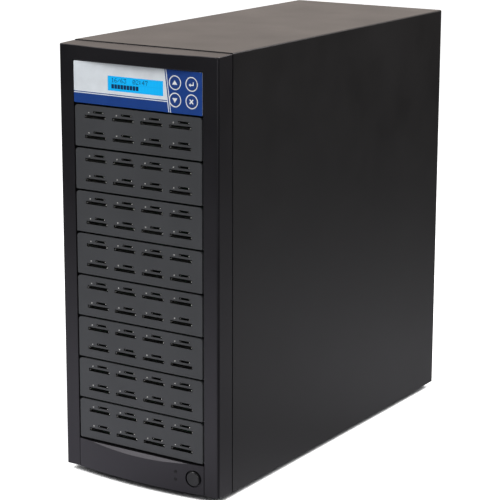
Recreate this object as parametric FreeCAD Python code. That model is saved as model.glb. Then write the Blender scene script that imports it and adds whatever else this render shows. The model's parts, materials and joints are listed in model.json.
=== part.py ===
import FreeCAD, Part
import math
import os

# Memory card duplicator tower: eight card modules and one control module in a nine-bay steel case.
# Millimetres. +Z is up and the front faces -Y. The origin is on the floor, under the middle of the whole.

# Stack of bays, from the floor up
foot_height = 6.0
chin_height = 30.5
bay_pitch = 42.0
card_bays = 8
top_bar_height = 15.5

# Case and bezel
bay_opening_width = 149.5
column_width = 16.75
case_depth = 438.0
bezel_depth = 23.2
bezel_wall = 2.5
bezel_corner_radius = 2.5
bow_depth = 5.6
brow_drop = 0.9
brow_step = 0.8
brow_radius = 0.8
seam_gap = 1.3

# Steel sheet work
sheet = 1.0
slide_gap = 0.3
hood_bend_radius = 1.6
hood_lip = 14.0
frame_flange = 12.0
base_flange = 16.0
cage_depth = 165.0
cage_flange = 8.0
rail_leg = 12.0

# Hood screws, thumb turned
hood_screw_head_radius = 4.5
hood_screw_head_length = 7.0
hood_screw_shank_radius = 1.7
hood_screw_shank_length = 6.0
hood_screw_end_distance = 70.0
hood_screw_inset = 9.0

# Other screws
screw_head_radius = 3.2
screw_head_height = 1.8
screw_shank_radius = 1.6
screw_length = 4.0
screw_hole_gap = 0.25
bay_screw_setback = 50.0
bay_slot_length = 9.0

# Feet
foot_radius = 11.0
foot_taper = 1.5
foot_inset = 22.0
foot_bore_radius = 4.2
foot_floor = 2.5

# Chin, power button and status lenses
chin_depth = 15.0
chin_side_gap = 0.4
ledge_start = 2.2
ledge_drop = 3.4
button_inset = 11.45
button_rise = 15.2
button_radius = 7.25
button_stand_out = 1.2
button_gap = 0.3
button_chamfer = 0.7
button_travel = 2.5
button_flange_width = 0.8
button_flange_thickness = 1.2
button_stem_radius = 3.0
recess_radius = 8.6
recess_depth = 1.9
boss_wall = 2.6
boss_depth = 4.0
switch_size = 14.0
status_led_spacing = 19.4
status_led_rises = (11.5, 19.3)
status_led_radius = 1.4
status_led_length = 7.0
status_led_gap = 0.15

# Card modules
panel_gap = 2.1
panel_side_gap = 1.6
panel_thickness = 2.5
panel_top_radius = 3.0
panel_foot_radius = 0.8
tab_thickness = 2.0
tab_depth = 8.0
tab_height = 12.0
slot_columns = 4
slot_column_pitch = 32.75
slot_rows = 2
slot_row_pitch = 19.6
lower_slot_rise = 10.6
sd_slot_width = 25.0
sd_slot_height = 3.2
microsd_slot_width = 12.2
microsd_slot_height = 2.2
microsd_offset = 3.9
led_offset = -7.7
led_size = 1.4
led_gap = 0.1
led_tail = 5.0
led_stand_out = 0.15

# Card sockets, boards and trays
shell_wall = 0.5
sd_socket_height = 3.2
sd_socket_depth = 28.0
microsd_socket_height = 3.1
microsd_socket_depth = 16.0
socket_gap = 0.3
board_thickness = 1.6
board_gap = 0.3
board_depth = 72.0
tray_side_gap = 0.3
tray_floor_rise = 1.2
tray_wall_height = 38.0
tray_depth = 76.0
tab_gap = 0.1
ledge_width = 3.5

# Control module
overlay_thickness = 0.5
overlay_corner_radius = 1.0
control_side_gap = 0.75
control_thickness = 3.0
window_to_keys = 45.4
window_rise = 22.55
window_width = 64.0
window_height = 14.1
glass_overlap = 0.5
glass_gap = 0.2
lcd_frame_width = 71.0
lcd_frame_height = 24.4
lcd_frame_depth = 5.0
lcd_frame_gap = 0.5
lcd_board_width = 80.0
lcd_board_height = 35.0
post_size = 4.0
post_inset_x = 4.5
post_inset_z = 3.0
key_column_insets = (31.1, 12.55)
key_rises = (29.3, 13.25)
key_radius = 5.6
key_gap = 0.25
key_stand_out = 0.45
key_travel = 0.5
key_flange = 13.0
key_flange_thickness = 1.2
key_well_gap = 0.4
key_stem = 4.0
key_rest_gap = 0.1
key_switch_size = 6.0
key_switch_height = 3.5
key_board_width = 28.0
controller_gap = 1.6
controller_depth = 100.0
controller_chip_size = 30.0
controller_chip_height = 8.0
control_tray_depth = 118.0

# Power supply, mains inlet and mains switch
supply_lip_gap = 2.5
supply_height = 86.0
supply_depth = 140.0
supply_border = 8.0
supply_screw_inset = 5.0
supply_vent_inset = 50.0
supply_vent_width = 62.0
supply_vent_rows = 8
inlet_inset = 30.0
inlet_to_rocker = 32.0
inlet_cavity_width = 24.0
inlet_cavity_height = 16.0
inlet_cavity_depth = 15.0
inlet_cavity_chamfer = 4.0
inlet_wall = 1.7
inlet_flange_width = 2.5
inlet_flange_thickness = 1.6
inlet_fit = 0.2
pin_spacing = 14.0
pin_offset = 2.0
pin_width = 2.0
pin_height = 4.0
pin_length = 12.0
rocker_drop = 24.0
rocker_width = 10.8
rocker_height = 16.0
rocker_gap = 0.4
rocker_depth = 3.2
rocker_dip = 1.3
rocker_lift = 2.4
rocker_tilt = 9.0
rocker_pin_radius = 1.2
rocker_pin_length = 0.9
rocker_pin_gap = 0.08
rocker_frame_wall = 1.8
rocker_frame_depth = 12.0

# Exhaust fan
fan_rise = 300.0
fan_size = 80.0
fan_depth = 25.0
fan_bore_radius = 38.5
fan_hole_spacing = 71.5
fan_wall = 3.0
fan_hub_radius = 15.0
fan_hub_depth = 14.0
fan_blades = 7
fan_tip_gap = 2.2
fan_chord = 19.0
fan_camber = 2.2
fan_blade_thickness = 1.4
fan_pitch = 38.0
fan_strut_width = 5.0
fan_strut_depth = 3.0
fan_shaft_radius = 1.6
fan_shaft_gap = 0.05
fan_sleeve_radius = 3.2
fan_sleeve_length = 7.0
fan_hub_gap = 0.6
fan_screw_length = 12.5
vent_slot = 4.0
vent_pitch = 8.0
vent_web = 4.0

# Wiring
ribbon_width = 40.0
ribbon_thickness = 1.0
cable_setback = 4.0
cable_gap = 1.5
connector_height = 6.0
connector_overlap = 5.0
harness_inset = 22.75
harness_width = 12.0
harness_thickness = 3.0
harness_rise = 60.0

# Cutting tools reach this far past the faces that they open
past = 1.0

# A point this close to a plane lies on it
near_enough = 0.01

# Levels and planes that the pieces share
bay_count = card_bays + 1
case_width = bay_opening_width + 2 * column_width
case_half = case_width / 2
bay_half = bay_opening_width / 2
case_bottom = foot_height
chin_top = case_bottom + chin_height
bays_top = chin_top + bay_count * bay_pitch
case_top = bays_top + top_bar_height
front_y = -(case_depth + hood_screw_head_length - bow_depth) / 2
back_y = front_y + case_depth
bezel_back = front_y + bezel_depth
hood_front = bezel_back + seam_gap
frame_back = bezel_back + sheet
chassis_half = case_half - sheet - slide_gap
chassis_floor = case_bottom + sheet
chassis_top = case_top - sheet - slide_gap
rear_outer = back_y - sheet
rear_inner = rear_outer - sheet
chin_half = bay_half - chin_side_gap
chin_rear = front_y + chin_depth
button_x = bay_half - button_inset
button_z = case_bottom + button_rise
status_led_x = button_x - status_led_spacing
flange_front = front_y + boss_depth + button_gap
flange_back = flange_front + button_flange_thickness
switch_front = flange_back + button_travel + button_gap
stem_end = chin_rear - sheet - button_travel - button_gap
panel_back = front_y + panel_thickness
tray_half = bay_half - tray_side_gap
tray_inner = tray_half - sheet
lower_board_rise = lower_slot_rise + sd_socket_height / 2
board_front = panel_back + socket_gap
microsd_rise = (sd_socket_height + microsd_socket_height) / 2 + board_thickness
led_rise = (sd_socket_height + led_size) / 2 + board_thickness
control_floor = chin_top + card_bays * bay_pitch
key_columns_x = [bay_half - inset for inset in key_column_insets]
window_x = key_columns_x[0] - window_to_keys
control_back = front_y + overlay_thickness + control_thickness
lcd_frame_front = control_back + lcd_frame_gap
post_back = lcd_frame_front + lcd_frame_depth
cable_front = panel_back + tray_depth + cable_setback
harness_x = bay_half - harness_inset
supply_floor = chassis_floor + sheet
supply_half = case_half - hood_lip - supply_lip_gap
supply_top = supply_floor + supply_height
supply_vent_x = supply_vent_inset - supply_half
inlet_x = supply_half - inlet_inset
rocker_z = supply_top - rocker_drop
inlet_z = rocker_z - inlet_to_rocker
fan_z = case_bottom + fan_rise
foot_x = case_half - foot_inset
foot_places = [
    (side * foot_x, y)
    for side in (-1, 1)
    for y in (hood_front + foot_inset, back_y - foot_inset)
]
hood_screw_x = case_half - hood_screw_inset
hood_screw_places = [
    (side * hood_screw_x, z)
    for side in (-1, 1)
    for z in (case_bottom + hood_screw_end_distance, case_top - hood_screw_end_distance)
]


def box(x0, x1, y0, y1, z0, z1):
    return Part.makeBox(x1 - x0, y1 - y0, z1 - z0, FreeCAD.Vector(x0, y0, z0))


def block(x, z, width, height, y0, y1):
    # A block centred on x and z, from y0 back to y1.
    return box(x - width / 2, x + width / 2, y0, y1, z - height / 2, z + height / 2)


def rod(radius, x, z, y0, y1):
    # A round bar along Y.
    return Part.makeCylinder(radius, y1 - y0, FreeCAD.Vector(x, y0, z), FreeCAD.Vector(0, 1, 0))


def post(radius, x, y, z0, z1):
    # A round bar along Z.
    return Part.makeCylinder(radius, z1 - z0, FreeCAD.Vector(x, y, z0))


def prism(points, sweep):
    return Part.Face(Part.makePolygon(points + points[:1])).extrude(sweep)


def along_x(outline, x0, x1):
    # Sweeps an outline of (y, z) pairs along X.
    return prism([FreeCAD.Vector(x0, y, z) for y, z in outline], FreeCAD.Vector(x1 - x0, 0, 0))


def along_y(outline, y0, y1):
    # Sweeps an outline of (x, z) pairs along Y.
    return prism([FreeCAD.Vector(x, y0, z) for x, z in outline], FreeCAD.Vector(0, y1 - y0, 0))


def bowed(half, front, rear, z0, z1):
    # A block whose front face bows forward between its two upright edges.
    left = FreeCAD.Vector(-half, front, z0)
    right = FreeCAD.Vector(half, front, z0)
    middle = FreeCAD.Vector(0, front - bow_depth, z0)
    back = [right, FreeCAD.Vector(half, rear, z0), FreeCAD.Vector(-half, rear, z0), left]
    wire = Part.Wire([Part.Arc(left, middle, right).toShape()] + Part.makePolygon(back).Edges)
    return Part.Face(wire).extrude(FreeCAD.Vector(0, 0, z1 - z0))


def bow_at(x, half):
    # How far the bowed front stands ahead of its edges at x.
    radius = (half ** 2 + bow_depth ** 2) / (2 * bow_depth)
    return bow_depth - radius + math.sqrt(radius ** 2 - x ** 2)


def both_sides(shape):
    return [shape, shape.mirror(FreeCAD.Vector(0, 0, 0), FreeCAD.Vector(1, 0, 0))]


def edges_near(shape, test):
    return [edge for edge in shape.Edges if test(edge.CenterOfMass)]


def bay_floor(bay):
    return chin_top + bay * bay_pitch


def slot_places(bay):
    # Centres of the wide card slots of one module.
    first_x = -slot_column_pitch * (slot_columns - 1) / 2
    first_z = bay_floor(bay) + lower_slot_rise
    return [
        (first_x + column * slot_column_pitch, first_z + row * slot_row_pitch)
        for row in range(slot_rows)
        for column in range(slot_columns)
    ]


def board_levels(bay):
    # Undersides of the boards of one module.
    return [bay_floor(bay) + lower_board_rise + row * slot_row_pitch for row in range(slot_rows)]


def hex_bar(radius, start, sweep):
    # A six-sided bar along one of the axes.
    along = FreeCAD.Vector(sweep).normalize()
    across = FreeCAD.Vector(along.z, along.x, along.y)
    up = FreeCAD.Vector(along.y, along.z, along.x)
    turns = [math.radians(60 * i) for i in range(6)]
    corners = [start + across * (radius * math.cos(turn)) + up * (radius * math.sin(turn)) for turn in turns]
    return prism(corners, sweep)


def hex_screw(seat, outward, length):
    # A screw whose six-sided head stands outward from its seat and whose shank goes in by length.
    head = hex_bar(screw_head_radius, seat, outward * screw_head_height)
    return head.fuse(hex_bar(screw_shank_radius, seat, outward * -length)).removeSplitter()


def rear_screw(x, z, length):
    # A screw from behind, through the rear panel.
    return hex_screw(FreeCAD.Vector(x, rear_outer, z), FreeCAD.Vector(0, 1, 0), length)


# Chassis


def flanged_plate(plate_y, flange_y):
    # An upright plate across the case, with a flange folded all round it towards flange_y.
    plate_end = plate_y + math.copysign(sheet, flange_y - plate_y)
    y0, y1 = min(plate_y, flange_y), max(plate_y, flange_y)
    outer = folded_top(chassis_half, y0, y1, chassis_floor, chassis_top, hood_bend_radius - sheet)
    far_y = flange_y + math.copysign(past, flange_y - plate_y)
    hollow_y0, hollow_y1 = min(plate_end, far_y), max(plate_end, far_y)
    inner = chassis_half - sheet
    hollow = box(-inner, inner, hollow_y0, hollow_y1, chassis_floor + sheet, chassis_top - sheet)
    return outer.cut(hollow)


def make_front_frame():
    opening = box(-bay_half, bay_half, bezel_back - past, frame_back + past, chin_top, bays_top)
    return flanged_plate(bezel_back, bezel_back + frame_flange).cut(opening)


def vent_slots(y0, y1):
    # Straight slots that fill the fan's circle, with a web down the middle.
    reach = fan_bore_radius - vent_slot / 2
    rows = int(reach // vent_pitch)
    slots = []
    for row in range(-rows, rows + 1):
        rise = row * vent_pitch
        half = math.sqrt(reach ** 2 - (abs(rise) - vent_slot / 2) ** 2) if row else reach
        end = half - vent_slot / 2
        slot = box(vent_web / 2, end, y0, y1, fan_z + rise - vent_slot / 2, fan_z + rise + vent_slot / 2)
        slots.extend(both_sides(slot))
    return slots


def fan_screw_places():
    half = fan_hole_spacing / 2
    return [(x, fan_z + rise) for x in (-half, half) for rise in (-half, half)]


def supply_screw_places():
    half = supply_half - supply_screw_inset
    low = supply_floor + supply_screw_inset
    high = supply_top - supply_screw_inset
    return [(x, z) for x in (-half, half) for z in (low, high)]


def make_rear_panel():
    plate = flanged_plate(rear_outer, rear_outer - frame_flange)
    y0, y1 = rear_inner - past, rear_outer + past
    window_half = supply_half - supply_border
    low = supply_floor + supply_border
    high = supply_top - supply_border
    tools = [box(-window_half, window_half, y0, y1, low, high)] + vent_slots(y0, y1)
    for x, z in fan_screw_places() + supply_screw_places():
        tools.append(rod(screw_shank_radius + screw_hole_gap, x, z, y0, y1))
    for x, z in hood_screw_places:
        tools.append(rod(hood_screw_shank_radius + screw_hole_gap, x, z, y0, y1))
    return plate.cut(tools)


def make_base_pan():
    floor = box(-chassis_half, chassis_half, bezel_back, rear_outer, case_bottom, chassis_floor)
    start = bezel_back + frame_flange + slide_gap
    end = rear_outer - frame_flange - slide_gap
    wall = box(chassis_half - sheet, chassis_half, start, end, chassis_floor, case_bottom + base_flange)
    tools = [
        post(screw_shank_radius + screw_hole_gap, x, y, case_bottom - past, chassis_floor + past)
        for x, y in foot_places
    ]
    return floor.fuse(both_sides(wall)).cut(tools).removeSplitter()


def make_cage_plate():
    # The plate on the right, seen from the front.
    low, high = chassis_floor + sheet, chassis_top - sheet
    plate = box(bay_half, bay_half + sheet, frame_back, frame_back + cage_depth, low, high)
    flange = box(bay_half, bay_half + sheet + cage_flange, frame_back, frame_back + sheet, low, high)
    slot_half = screw_shank_radius + screw_hole_gap
    y = front_y + bay_screw_setback
    slots = [
        box(
            bay_half - past,
            bay_half + sheet + past,
            y - bay_slot_length / 2,
            y + bay_slot_length / 2,
            bay_floor(bay) + bay_pitch / 2 - slot_half,
            bay_floor(bay) + bay_pitch / 2 + slot_half,
        )
        for bay in range(bay_count)
    ]
    return plate.fuse(flange).cut(slots).removeSplitter()


def make_top_rail():
    outer_x, top = chassis_half - sheet, chassis_top - sheet
    outline = [
        (outer_x, top),
        (outer_x - rail_leg, top),
        (outer_x - rail_leg, top - sheet),
        (outer_x - sheet, top - sheet),
        (outer_x - sheet, top - rail_leg),
        (outer_x, top - rail_leg),
    ]
    return along_y(outline, frame_back + sheet, rear_inner)


# Hood


def folded_top(half, y0, y1, z0, z1, radius):
    # A block with its two long top edges rounded, as a folded sheet has them.
    body = box(-half, half, y0, y1, z0, z1)
    edges = edges_near(body, lambda p: abs(p.z - z1) < near_enough and abs(abs(p.x) - half) < near_enough)
    return body.makeFillet(radius, edges)


def make_hood():
    outer = folded_top(case_half, hood_front, back_y, case_bottom, case_top, hood_bend_radius)
    inner_half, inner_top = case_half - sheet, case_top - sheet
    inner_radius = hood_bend_radius - sheet
    inner = folded_top(inner_half, hood_front - past, rear_outer, case_bottom - past, inner_top, inner_radius)
    lip_half = case_half - hood_lip
    y0, y1 = rear_outer - past, back_y + past
    window = box(-lip_half, lip_half, y0, y1, case_bottom - past, case_top - hood_lip)
    hole = hood_screw_shank_radius + screw_hole_gap
    holes = [rod(hole, x, z, y0, y1) for x, z in hood_screw_places]
    return outer.cut([inner, window] + holes)


def make_hood_screw(x, z):
    head = rod(hood_screw_head_radius, x, z, back_y, back_y + hood_screw_head_length)
    seat = FreeCAD.Vector(x, back_y, z)
    shank = hex_bar(hood_screw_shank_radius, seat, FreeCAD.Vector(0, -hood_screw_shank_length, 0))
    return head.fuse(shank).removeSplitter()


# Bezel and chin


def make_bezel():
    crown = case_top - brow_step
    body = box(-case_half, case_half, front_y, bezel_back, case_bottom, crown)
    body = body.fuse(bowed(bay_half, front_y, bezel_back, bays_top, crown)).removeSplitter()
    brow_front = front_y - bow_depth
    slope = brow_drop / (bezel_back - brow_front)
    far = brow_front - past
    far_z = crown - slope * (bezel_back - far)
    wedge = [(bezel_back, crown), (far, far_z), (far, crown + past), (bezel_back, crown + past)]
    body = body.cut(along_x(wedge, -case_half - past, case_half + past))
    uprights = edges_near(
        body, lambda p: abs(abs(p.x) - case_half) < near_enough and abs(p.y - front_y) < near_enough
    )
    body = body.makeFillet(bezel_corner_radius, uprights)
    low_z = crown - brow_drop - near_enough
    brow = edges_near(body, lambda p: p.y < front_y + bezel_corner_radius and p.z > low_z)
    body = body.makeFillet(brow_radius, brow)
    y0, y1 = brow_front - past, bezel_back + past
    hollow_y = front_y + bezel_wall
    column_x0, column_x1 = bay_half + bezel_wall, case_half - bezel_wall
    column = box(column_x0, column_x1, hollow_y, y1, case_bottom + bezel_wall, bays_top - bezel_wall)
    bar_top = crown - brow_drop - bezel_wall
    tools = both_sides(column)
    tools.append(box(-bay_half, bay_half, y0, y1, chin_top, bays_top))
    tools.append(box(-bay_half, bay_half, y0, chin_rear, case_bottom - past, chin_top))
    tools.append(box(-bay_half, bay_half, hollow_y, y1, bays_top + bezel_wall, bar_top))
    return body.cut(tools)


def make_chin():
    top = chin_top - panel_gap / 2
    body = bowed(chin_half, front_y, chin_rear, case_bottom, top)
    far = front_y - bow_depth - past
    ledge_y = front_y - ledge_start
    far_z = top - ledge_drop * (ledge_y - far) / (bow_depth - ledge_start)
    wedge = [(ledge_y, top), (far, far_z), (far, top + past), (ledge_y, top + past)]
    body = body.cut(along_x(wedge, -case_half, case_half))
    hollow_half = chin_half - bezel_wall
    hollow_top = top - ledge_drop - bezel_wall
    hollow = bowed(hollow_half, front_y + bezel_wall, chin_rear + past, case_bottom + bezel_wall, hollow_top)
    bore = button_radius + button_gap
    body = body.cut(hollow).fuse(rod(bore + boss_wall, button_x, button_z, front_y, front_y + boss_depth))
    surface = front_y - bow_at(button_x, chin_half)
    tools = [rod(bore, button_x, button_z, far, chin_rear)]
    tools.append(rod(recess_radius, button_x, button_z, far, surface + recess_depth))
    for rise in status_led_rises:
        hole = status_led_radius + status_led_gap
        tools.append(rod(hole, status_led_x, case_bottom + rise, far, chin_rear))
    return body.cut(tools).removeSplitter()


def make_power_button():
    crown = front_y - bow_at(button_x, chin_half) - button_stand_out
    cap = rod(button_radius, button_x, button_z, crown, flange_front)
    rim = edges_near(cap, lambda p: abs(p.y - crown) < near_enough)
    cap = cap.makeChamfer(button_chamfer, rim)
    flange = rod(button_radius + button_flange_width, button_x, button_z, flange_front, flange_back)
    stem = rod(button_stem_radius, button_x, button_z, flange_back, stem_end)
    return cap.fuse([flange, stem]).removeSplitter()


def make_power_switch():
    # A momentary switch with the button's stem in its bore.
    body = block(button_x, button_z, switch_size, switch_size, switch_front, chin_rear)
    bore = rod(button_stem_radius + button_gap, button_x, button_z, switch_front - past, chin_rear - sheet)
    return body.cut(bore)


def make_status_led(rise):
    y = front_y - bow_at(status_led_x, chin_half)
    return rod(status_led_radius, status_led_x, case_bottom + rise, y, y + status_led_length)


# Feet


def make_foot(x, y):
    body = Part.makeCone(foot_radius - foot_taper, foot_radius, foot_height, FreeCAD.Vector(x, y, 0))
    bore = post(foot_bore_radius, x, y, -past, foot_height - foot_floor)
    hole = post(screw_shank_radius + screw_hole_gap, x, y, 0, foot_height + past)
    return body.cut([bore, hole])


def make_foot_screw(x, y):
    # The screw from below, ending short of the supply's underside.
    seat = foot_height - foot_floor
    return hex_screw(FreeCAD.Vector(x, y, seat), FreeCAD.Vector(0, 0, -1), supply_floor - slide_gap - seat)


# Card modules


def rounded_plate(half, z0, z1, y0, y1, top_radius, foot_radius):
    # A face plate with its two upper and its two lower corners rounded.
    body = box(-half, half, y0, y1, z0, z1)
    for z, radius in ((z1, top_radius), (z0, foot_radius)):
        corners = edges_near(
            body, lambda p: abs(p.y - (y0 + y1) / 2) < near_enough and abs(p.z - z) < near_enough
        )
        body = body.makeFillet(radius, corners)
    return body


def side_tabs(half, bay, y0):
    # Tongues behind a face plate that slip inside the walls of its tray.
    z = bay_floor(bay) + bay_pitch / 2
    tab = box(half - tab_thickness, half, y0, y0 + tab_depth, z - tab_height / 2, z + tab_height / 2)
    return both_sides(tab)


def make_card_panel(bay):
    half = bay_half - panel_side_gap
    z0 = bay_floor(bay) + panel_gap / 2
    z1 = z0 + bay_pitch - panel_gap
    plate = rounded_plate(half, z0, z1, front_y, panel_back, panel_top_radius, panel_foot_radius)
    y0, y1 = front_y - past, panel_back + past
    tools = []
    for x, z in slot_places(bay):
        small_x, small_z = x + microsd_offset, z + microsd_rise
        hole = led_size + 2 * led_gap
        tools.append(block(x, z, sd_slot_width, sd_slot_height, y0, y1))
        tools.append(block(small_x, small_z, microsd_slot_width, microsd_slot_height, y0, y1))
        tools.append(block(x + led_offset, z + led_rise, hole, hole, y0, y1))
    return plate.fuse(side_tabs(tray_inner - tab_gap, bay, panel_back)).cut(tools).removeSplitter()


def make_tray(bay, start, depth):
    # A folded tray with two shelf lips on each wall for the boards.
    floor = bay_floor(bay) + tray_floor_rise
    top = bay_floor(bay) + tray_wall_height
    shelf = tray_inner - ledge_width
    right = [(tray_half, floor), (tray_half, top), (tray_inner, top)]
    for level in reversed(board_levels(bay)):
        right += [(tray_inner, level), (shelf, level), (shelf, level - sheet), (tray_inner, level - sheet)]
    right.append((tray_inner, floor + sheet))
    left = [(-x, z) for x, z in reversed(right)]
    tray = along_y(right + left, start, start + depth)
    hole = 2 * (screw_shank_radius + screw_hole_gap)
    y = front_y + bay_screw_setback
    z = bay_floor(bay) + bay_pitch / 2
    return tray.cut(box(-case_half, case_half, y - hole / 2, y + hole / 2, z - hole / 2, z + hole / 2))


def make_control_tray():
    # The control module's tray, with a window in its floor for the cables from below.
    tray = make_tray(card_bays, control_back, control_tray_depth)
    floor = control_floor + tray_floor_rise
    y0 = cable_front - cable_gap
    y1 = cable_front + harness_thickness + cable_gap
    x0 = -ribbon_width / 2 - cable_gap
    x1 = harness_x + harness_width / 2 + cable_gap
    return tray.cut(box(x0, x1, y0, y1, floor - past, floor + sheet + past))


def make_board(level, start, depth):
    half = tray_inner - board_gap
    return box(-half, half, start, start + depth, level, level + board_thickness)


def shell(x, z, width, height, depth, opens):
    # A stamped socket shell: a channel that opens towards its board, above (1) or below (-1).
    outer = block(x, z, width + 2 * shell_wall, height, board_front, board_front + depth)
    hollow = block(x, z + opens * shell_wall, width, height, board_front - past, board_front + depth + past)
    return outer.cut(hollow)


def make_sd_socket(x, z):
    return shell(x, z, sd_slot_width, sd_socket_height, sd_socket_depth, 1)


def make_microsd_socket(x, z):
    place = (x + microsd_offset, z + microsd_rise)
    return shell(*place, microsd_slot_width, microsd_socket_height, microsd_socket_depth, -1)


def make_slot_led(x, z):
    # A light pipe from the board to just ahead of the face plate.
    y0, y1 = front_y - led_stand_out, board_front + led_tail
    return block(x + led_offset, z + led_rise, led_size, led_size, y0, y1)


def make_bay_screw(bay):
    # The screw on the right, from outside the cage plate into the tray.
    seat = FreeCAD.Vector(bay_half + sheet, front_y + bay_screw_setback, bay_floor(bay) + bay_pitch / 2)
    return hex_screw(seat, FreeCAD.Vector(1, 0, 0), screw_length)


# Control module


def key_places():
    return [(x, control_floor + rise) for x in key_columns_x for rise in key_rises]


def make_overlay():
    half = bay_half - control_side_gap
    z0 = control_floor + panel_gap / 2
    z1 = z0 + bay_pitch - panel_gap
    back = front_y + overlay_thickness
    film = rounded_plate(half, z0, z1, front_y, back, overlay_corner_radius, overlay_corner_radius)
    y0, y1 = front_y - past, back + past
    tools = [block(window_x, control_floor + window_rise, window_width, window_height, y0, y1)]
    tools += [rod(key_radius + key_gap, x, z, y0, y1) for x, z in key_places()]
    return film.cut(tools)


def board_posts(places):
    # Posts behind the face plate that carry a board near its upper and lower edges.
    z = control_floor + window_rise
    reach = lcd_board_height / 2 - post_inset_z
    return [
        block(x, z + rise * reach, post_size, post_size, control_back - past, post_back)
        for x in places
        for rise in (-1, 1)
    ]


def key_board_centre():
    x = sum(key_columns_x) / len(key_columns_x)
    return x, control_floor + window_rise


def make_control_panel():
    half = bay_half - control_side_gap
    z0 = control_floor + panel_gap / 2
    z1 = z0 + bay_pitch - panel_gap
    front = front_y + overlay_thickness
    body = rounded_plate(half, z0, z1, front, control_back, overlay_corner_radius, overlay_corner_radius)
    window_z = control_floor + window_rise
    body = body.fuse(side_tabs(tray_inner - tab_gap, card_bays, control_back))
    reach = lcd_board_width / 2 - post_inset_x
    body = body.fuse(board_posts([window_x - reach, window_x + reach, key_board_centre()[0]]))
    glass_width = window_width + 2 * (glass_overlap + glass_gap)
    glass_height = window_height + 2 * (glass_overlap + glass_gap)
    y0, y1 = front - past, control_back + past
    tools = [block(window_x, window_z, glass_width, glass_height, y0, y1)]
    well = key_flange + 2 * key_well_gap
    tools += [block(x, z, well, well, y0, y1) for x, z in key_places()]
    return body.cut(tools).removeSplitter()


def make_lcd_glass():
    width, height = window_width + 2 * glass_overlap, window_height + 2 * glass_overlap
    front = front_y + overlay_thickness + glass_gap
    return block(window_x, control_floor + window_rise, width, height, front, lcd_frame_front)


def make_lcd_module():
    z = control_floor + window_rise
    frame = block(window_x, z, lcd_frame_width, lcd_frame_height, lcd_frame_front, post_back)
    board = block(window_x, z, lcd_board_width, lcd_board_height, post_back, post_back + board_thickness)
    return [frame, board]


def make_key(x, z):
    front = front_y - key_stand_out
    seat = front_y + overlay_thickness + key_gap
    skirt_back = seat + key_flange_thickness
    stem_back = post_back - key_switch_height - key_travel - key_rest_gap
    cap = rod(key_radius, x, z, front, seat)
    skirt = block(x, z, key_flange, key_flange, seat, skirt_back)
    stem = block(x, z, key_stem, key_stem, skirt_back, stem_back)
    return cap.fuse([skirt, stem]).removeSplitter()


def make_key_board():
    x, z = key_board_centre()
    board = block(x, z, key_board_width, lcd_board_height, post_back, post_back + board_thickness)
    size = key_switch_size
    front = post_back - key_switch_height
    return [board] + [block(a, b, size, size, front, post_back) for a, b in key_places()]


def make_controller_board():
    level = board_levels(card_bays)[0]
    start = post_back + board_thickness + controller_gap
    board = make_board(level, start, controller_depth)
    y = start + controller_depth / 2
    top = level + board_thickness
    half = controller_chip_size / 2
    chip = box(-half, half, y - half, y + half, top, top + controller_chip_height)
    return [board, chip]


# Power supply and mains parts


def inlet_outline(grow):
    # The mains inlet's cavity outline, with its two upper corners cut, widened all round by grow.
    half_x, half_z = inlet_cavity_width / 2 + grow, inlet_cavity_height / 2 + grow
    cut = inlet_cavity_chamfer + grow * (2 - math.sqrt(2))
    points = [(-half_x, -half_z), (half_x, -half_z), (half_x, half_z - cut), (half_x - cut, half_z)]
    points += [(cut - half_x, half_z), (-half_x, half_z - cut)]
    return [(inlet_x + a, inlet_z + b) for a, b in points]


def rocker_cavity():
    return rocker_width + 2 * rocker_gap, rocker_height + 2 * rocker_gap


def make_supply():
    front = rear_inner - supply_depth
    shell_body = box(-supply_half, supply_half, front, rear_inner, supply_floor, supply_top)
    inner = supply_half - sheet
    hollow = box(-inner, inner, front + sheet, rear_inner - sheet, supply_floor + sheet, supply_top - sheet)
    y0, y1 = rear_inner - sheet - past, rear_inner + past
    tools = [hollow, along_y(inlet_outline(inlet_wall + inlet_fit), y0, y1)]
    width, height = rocker_cavity()
    grow = 2 * (rocker_frame_wall + inlet_fit)
    tools.append(block(inlet_x, rocker_z, width + grow, height + grow, y0, y1))
    middle = (supply_floor + supply_top) / 2
    for row in range(supply_vent_rows):
        z = middle + (row - (supply_vent_rows - 1) / 2) * vent_pitch
        tools.append(block(supply_vent_x, z, supply_vent_width, vent_slot, y0, y1))
        tools.append(block(0, z, supply_vent_width, vent_slot, front - past, front + sheet + past))
    for x, z in supply_screw_places():
        tools.append(rod(screw_shank_radius + screw_hole_gap, x, z, y0, y1))
    return shell_body.cut(tools)


def make_inlet():
    face = rear_inner + inlet_flange_thickness
    floor = face - inlet_cavity_depth
    body = along_y(inlet_outline(inlet_wall), floor - inlet_wall, face)
    flange_width = inlet_cavity_width + 2 * (inlet_wall + inlet_flange_width)
    flange_height = inlet_cavity_height + 2 * (inlet_wall + inlet_flange_width)
    body = body.fuse(block(inlet_x, inlet_z, flange_width, flange_height, rear_inner, face))
    body = body.cut(along_y(inlet_outline(0), floor, face + past))
    places = [(-pin_spacing / 2, -pin_offset), (0, pin_offset), (pin_spacing / 2, -pin_offset)]
    y0, y1 = floor - past, floor + pin_length
    pins = [block(inlet_x + a, inlet_z + b, pin_width, pin_height, y0, y1) for a, b in places]
    return body.fuse(pins).removeSplitter()


def make_rocker_frame():
    x, z = inlet_x, rocker_z
    width, height = rocker_cavity()
    wall = 2 * rocker_frame_wall
    face = rear_inner + inlet_flange_thickness
    flange = wall + 2 * inlet_flange_width
    body = block(x, z, width + wall, height + wall, face - rocker_frame_depth, face)
    body = body.fuse(block(x, z, width + flange, height + flange, rear_inner, face))
    body = body.cut(block(x, z, width, height, face - rocker_frame_depth + rocker_frame_wall, face + past))
    reach = rocker_width / 2 + rocker_pin_length + rocker_gap
    return body.cut(cross_pin(rocker_pin_radius + rocker_pin_gap, x, z, reach)).removeSplitter()


def rocker_axis_y():
    return rear_inner + inlet_flange_thickness - rocker_lift


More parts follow.
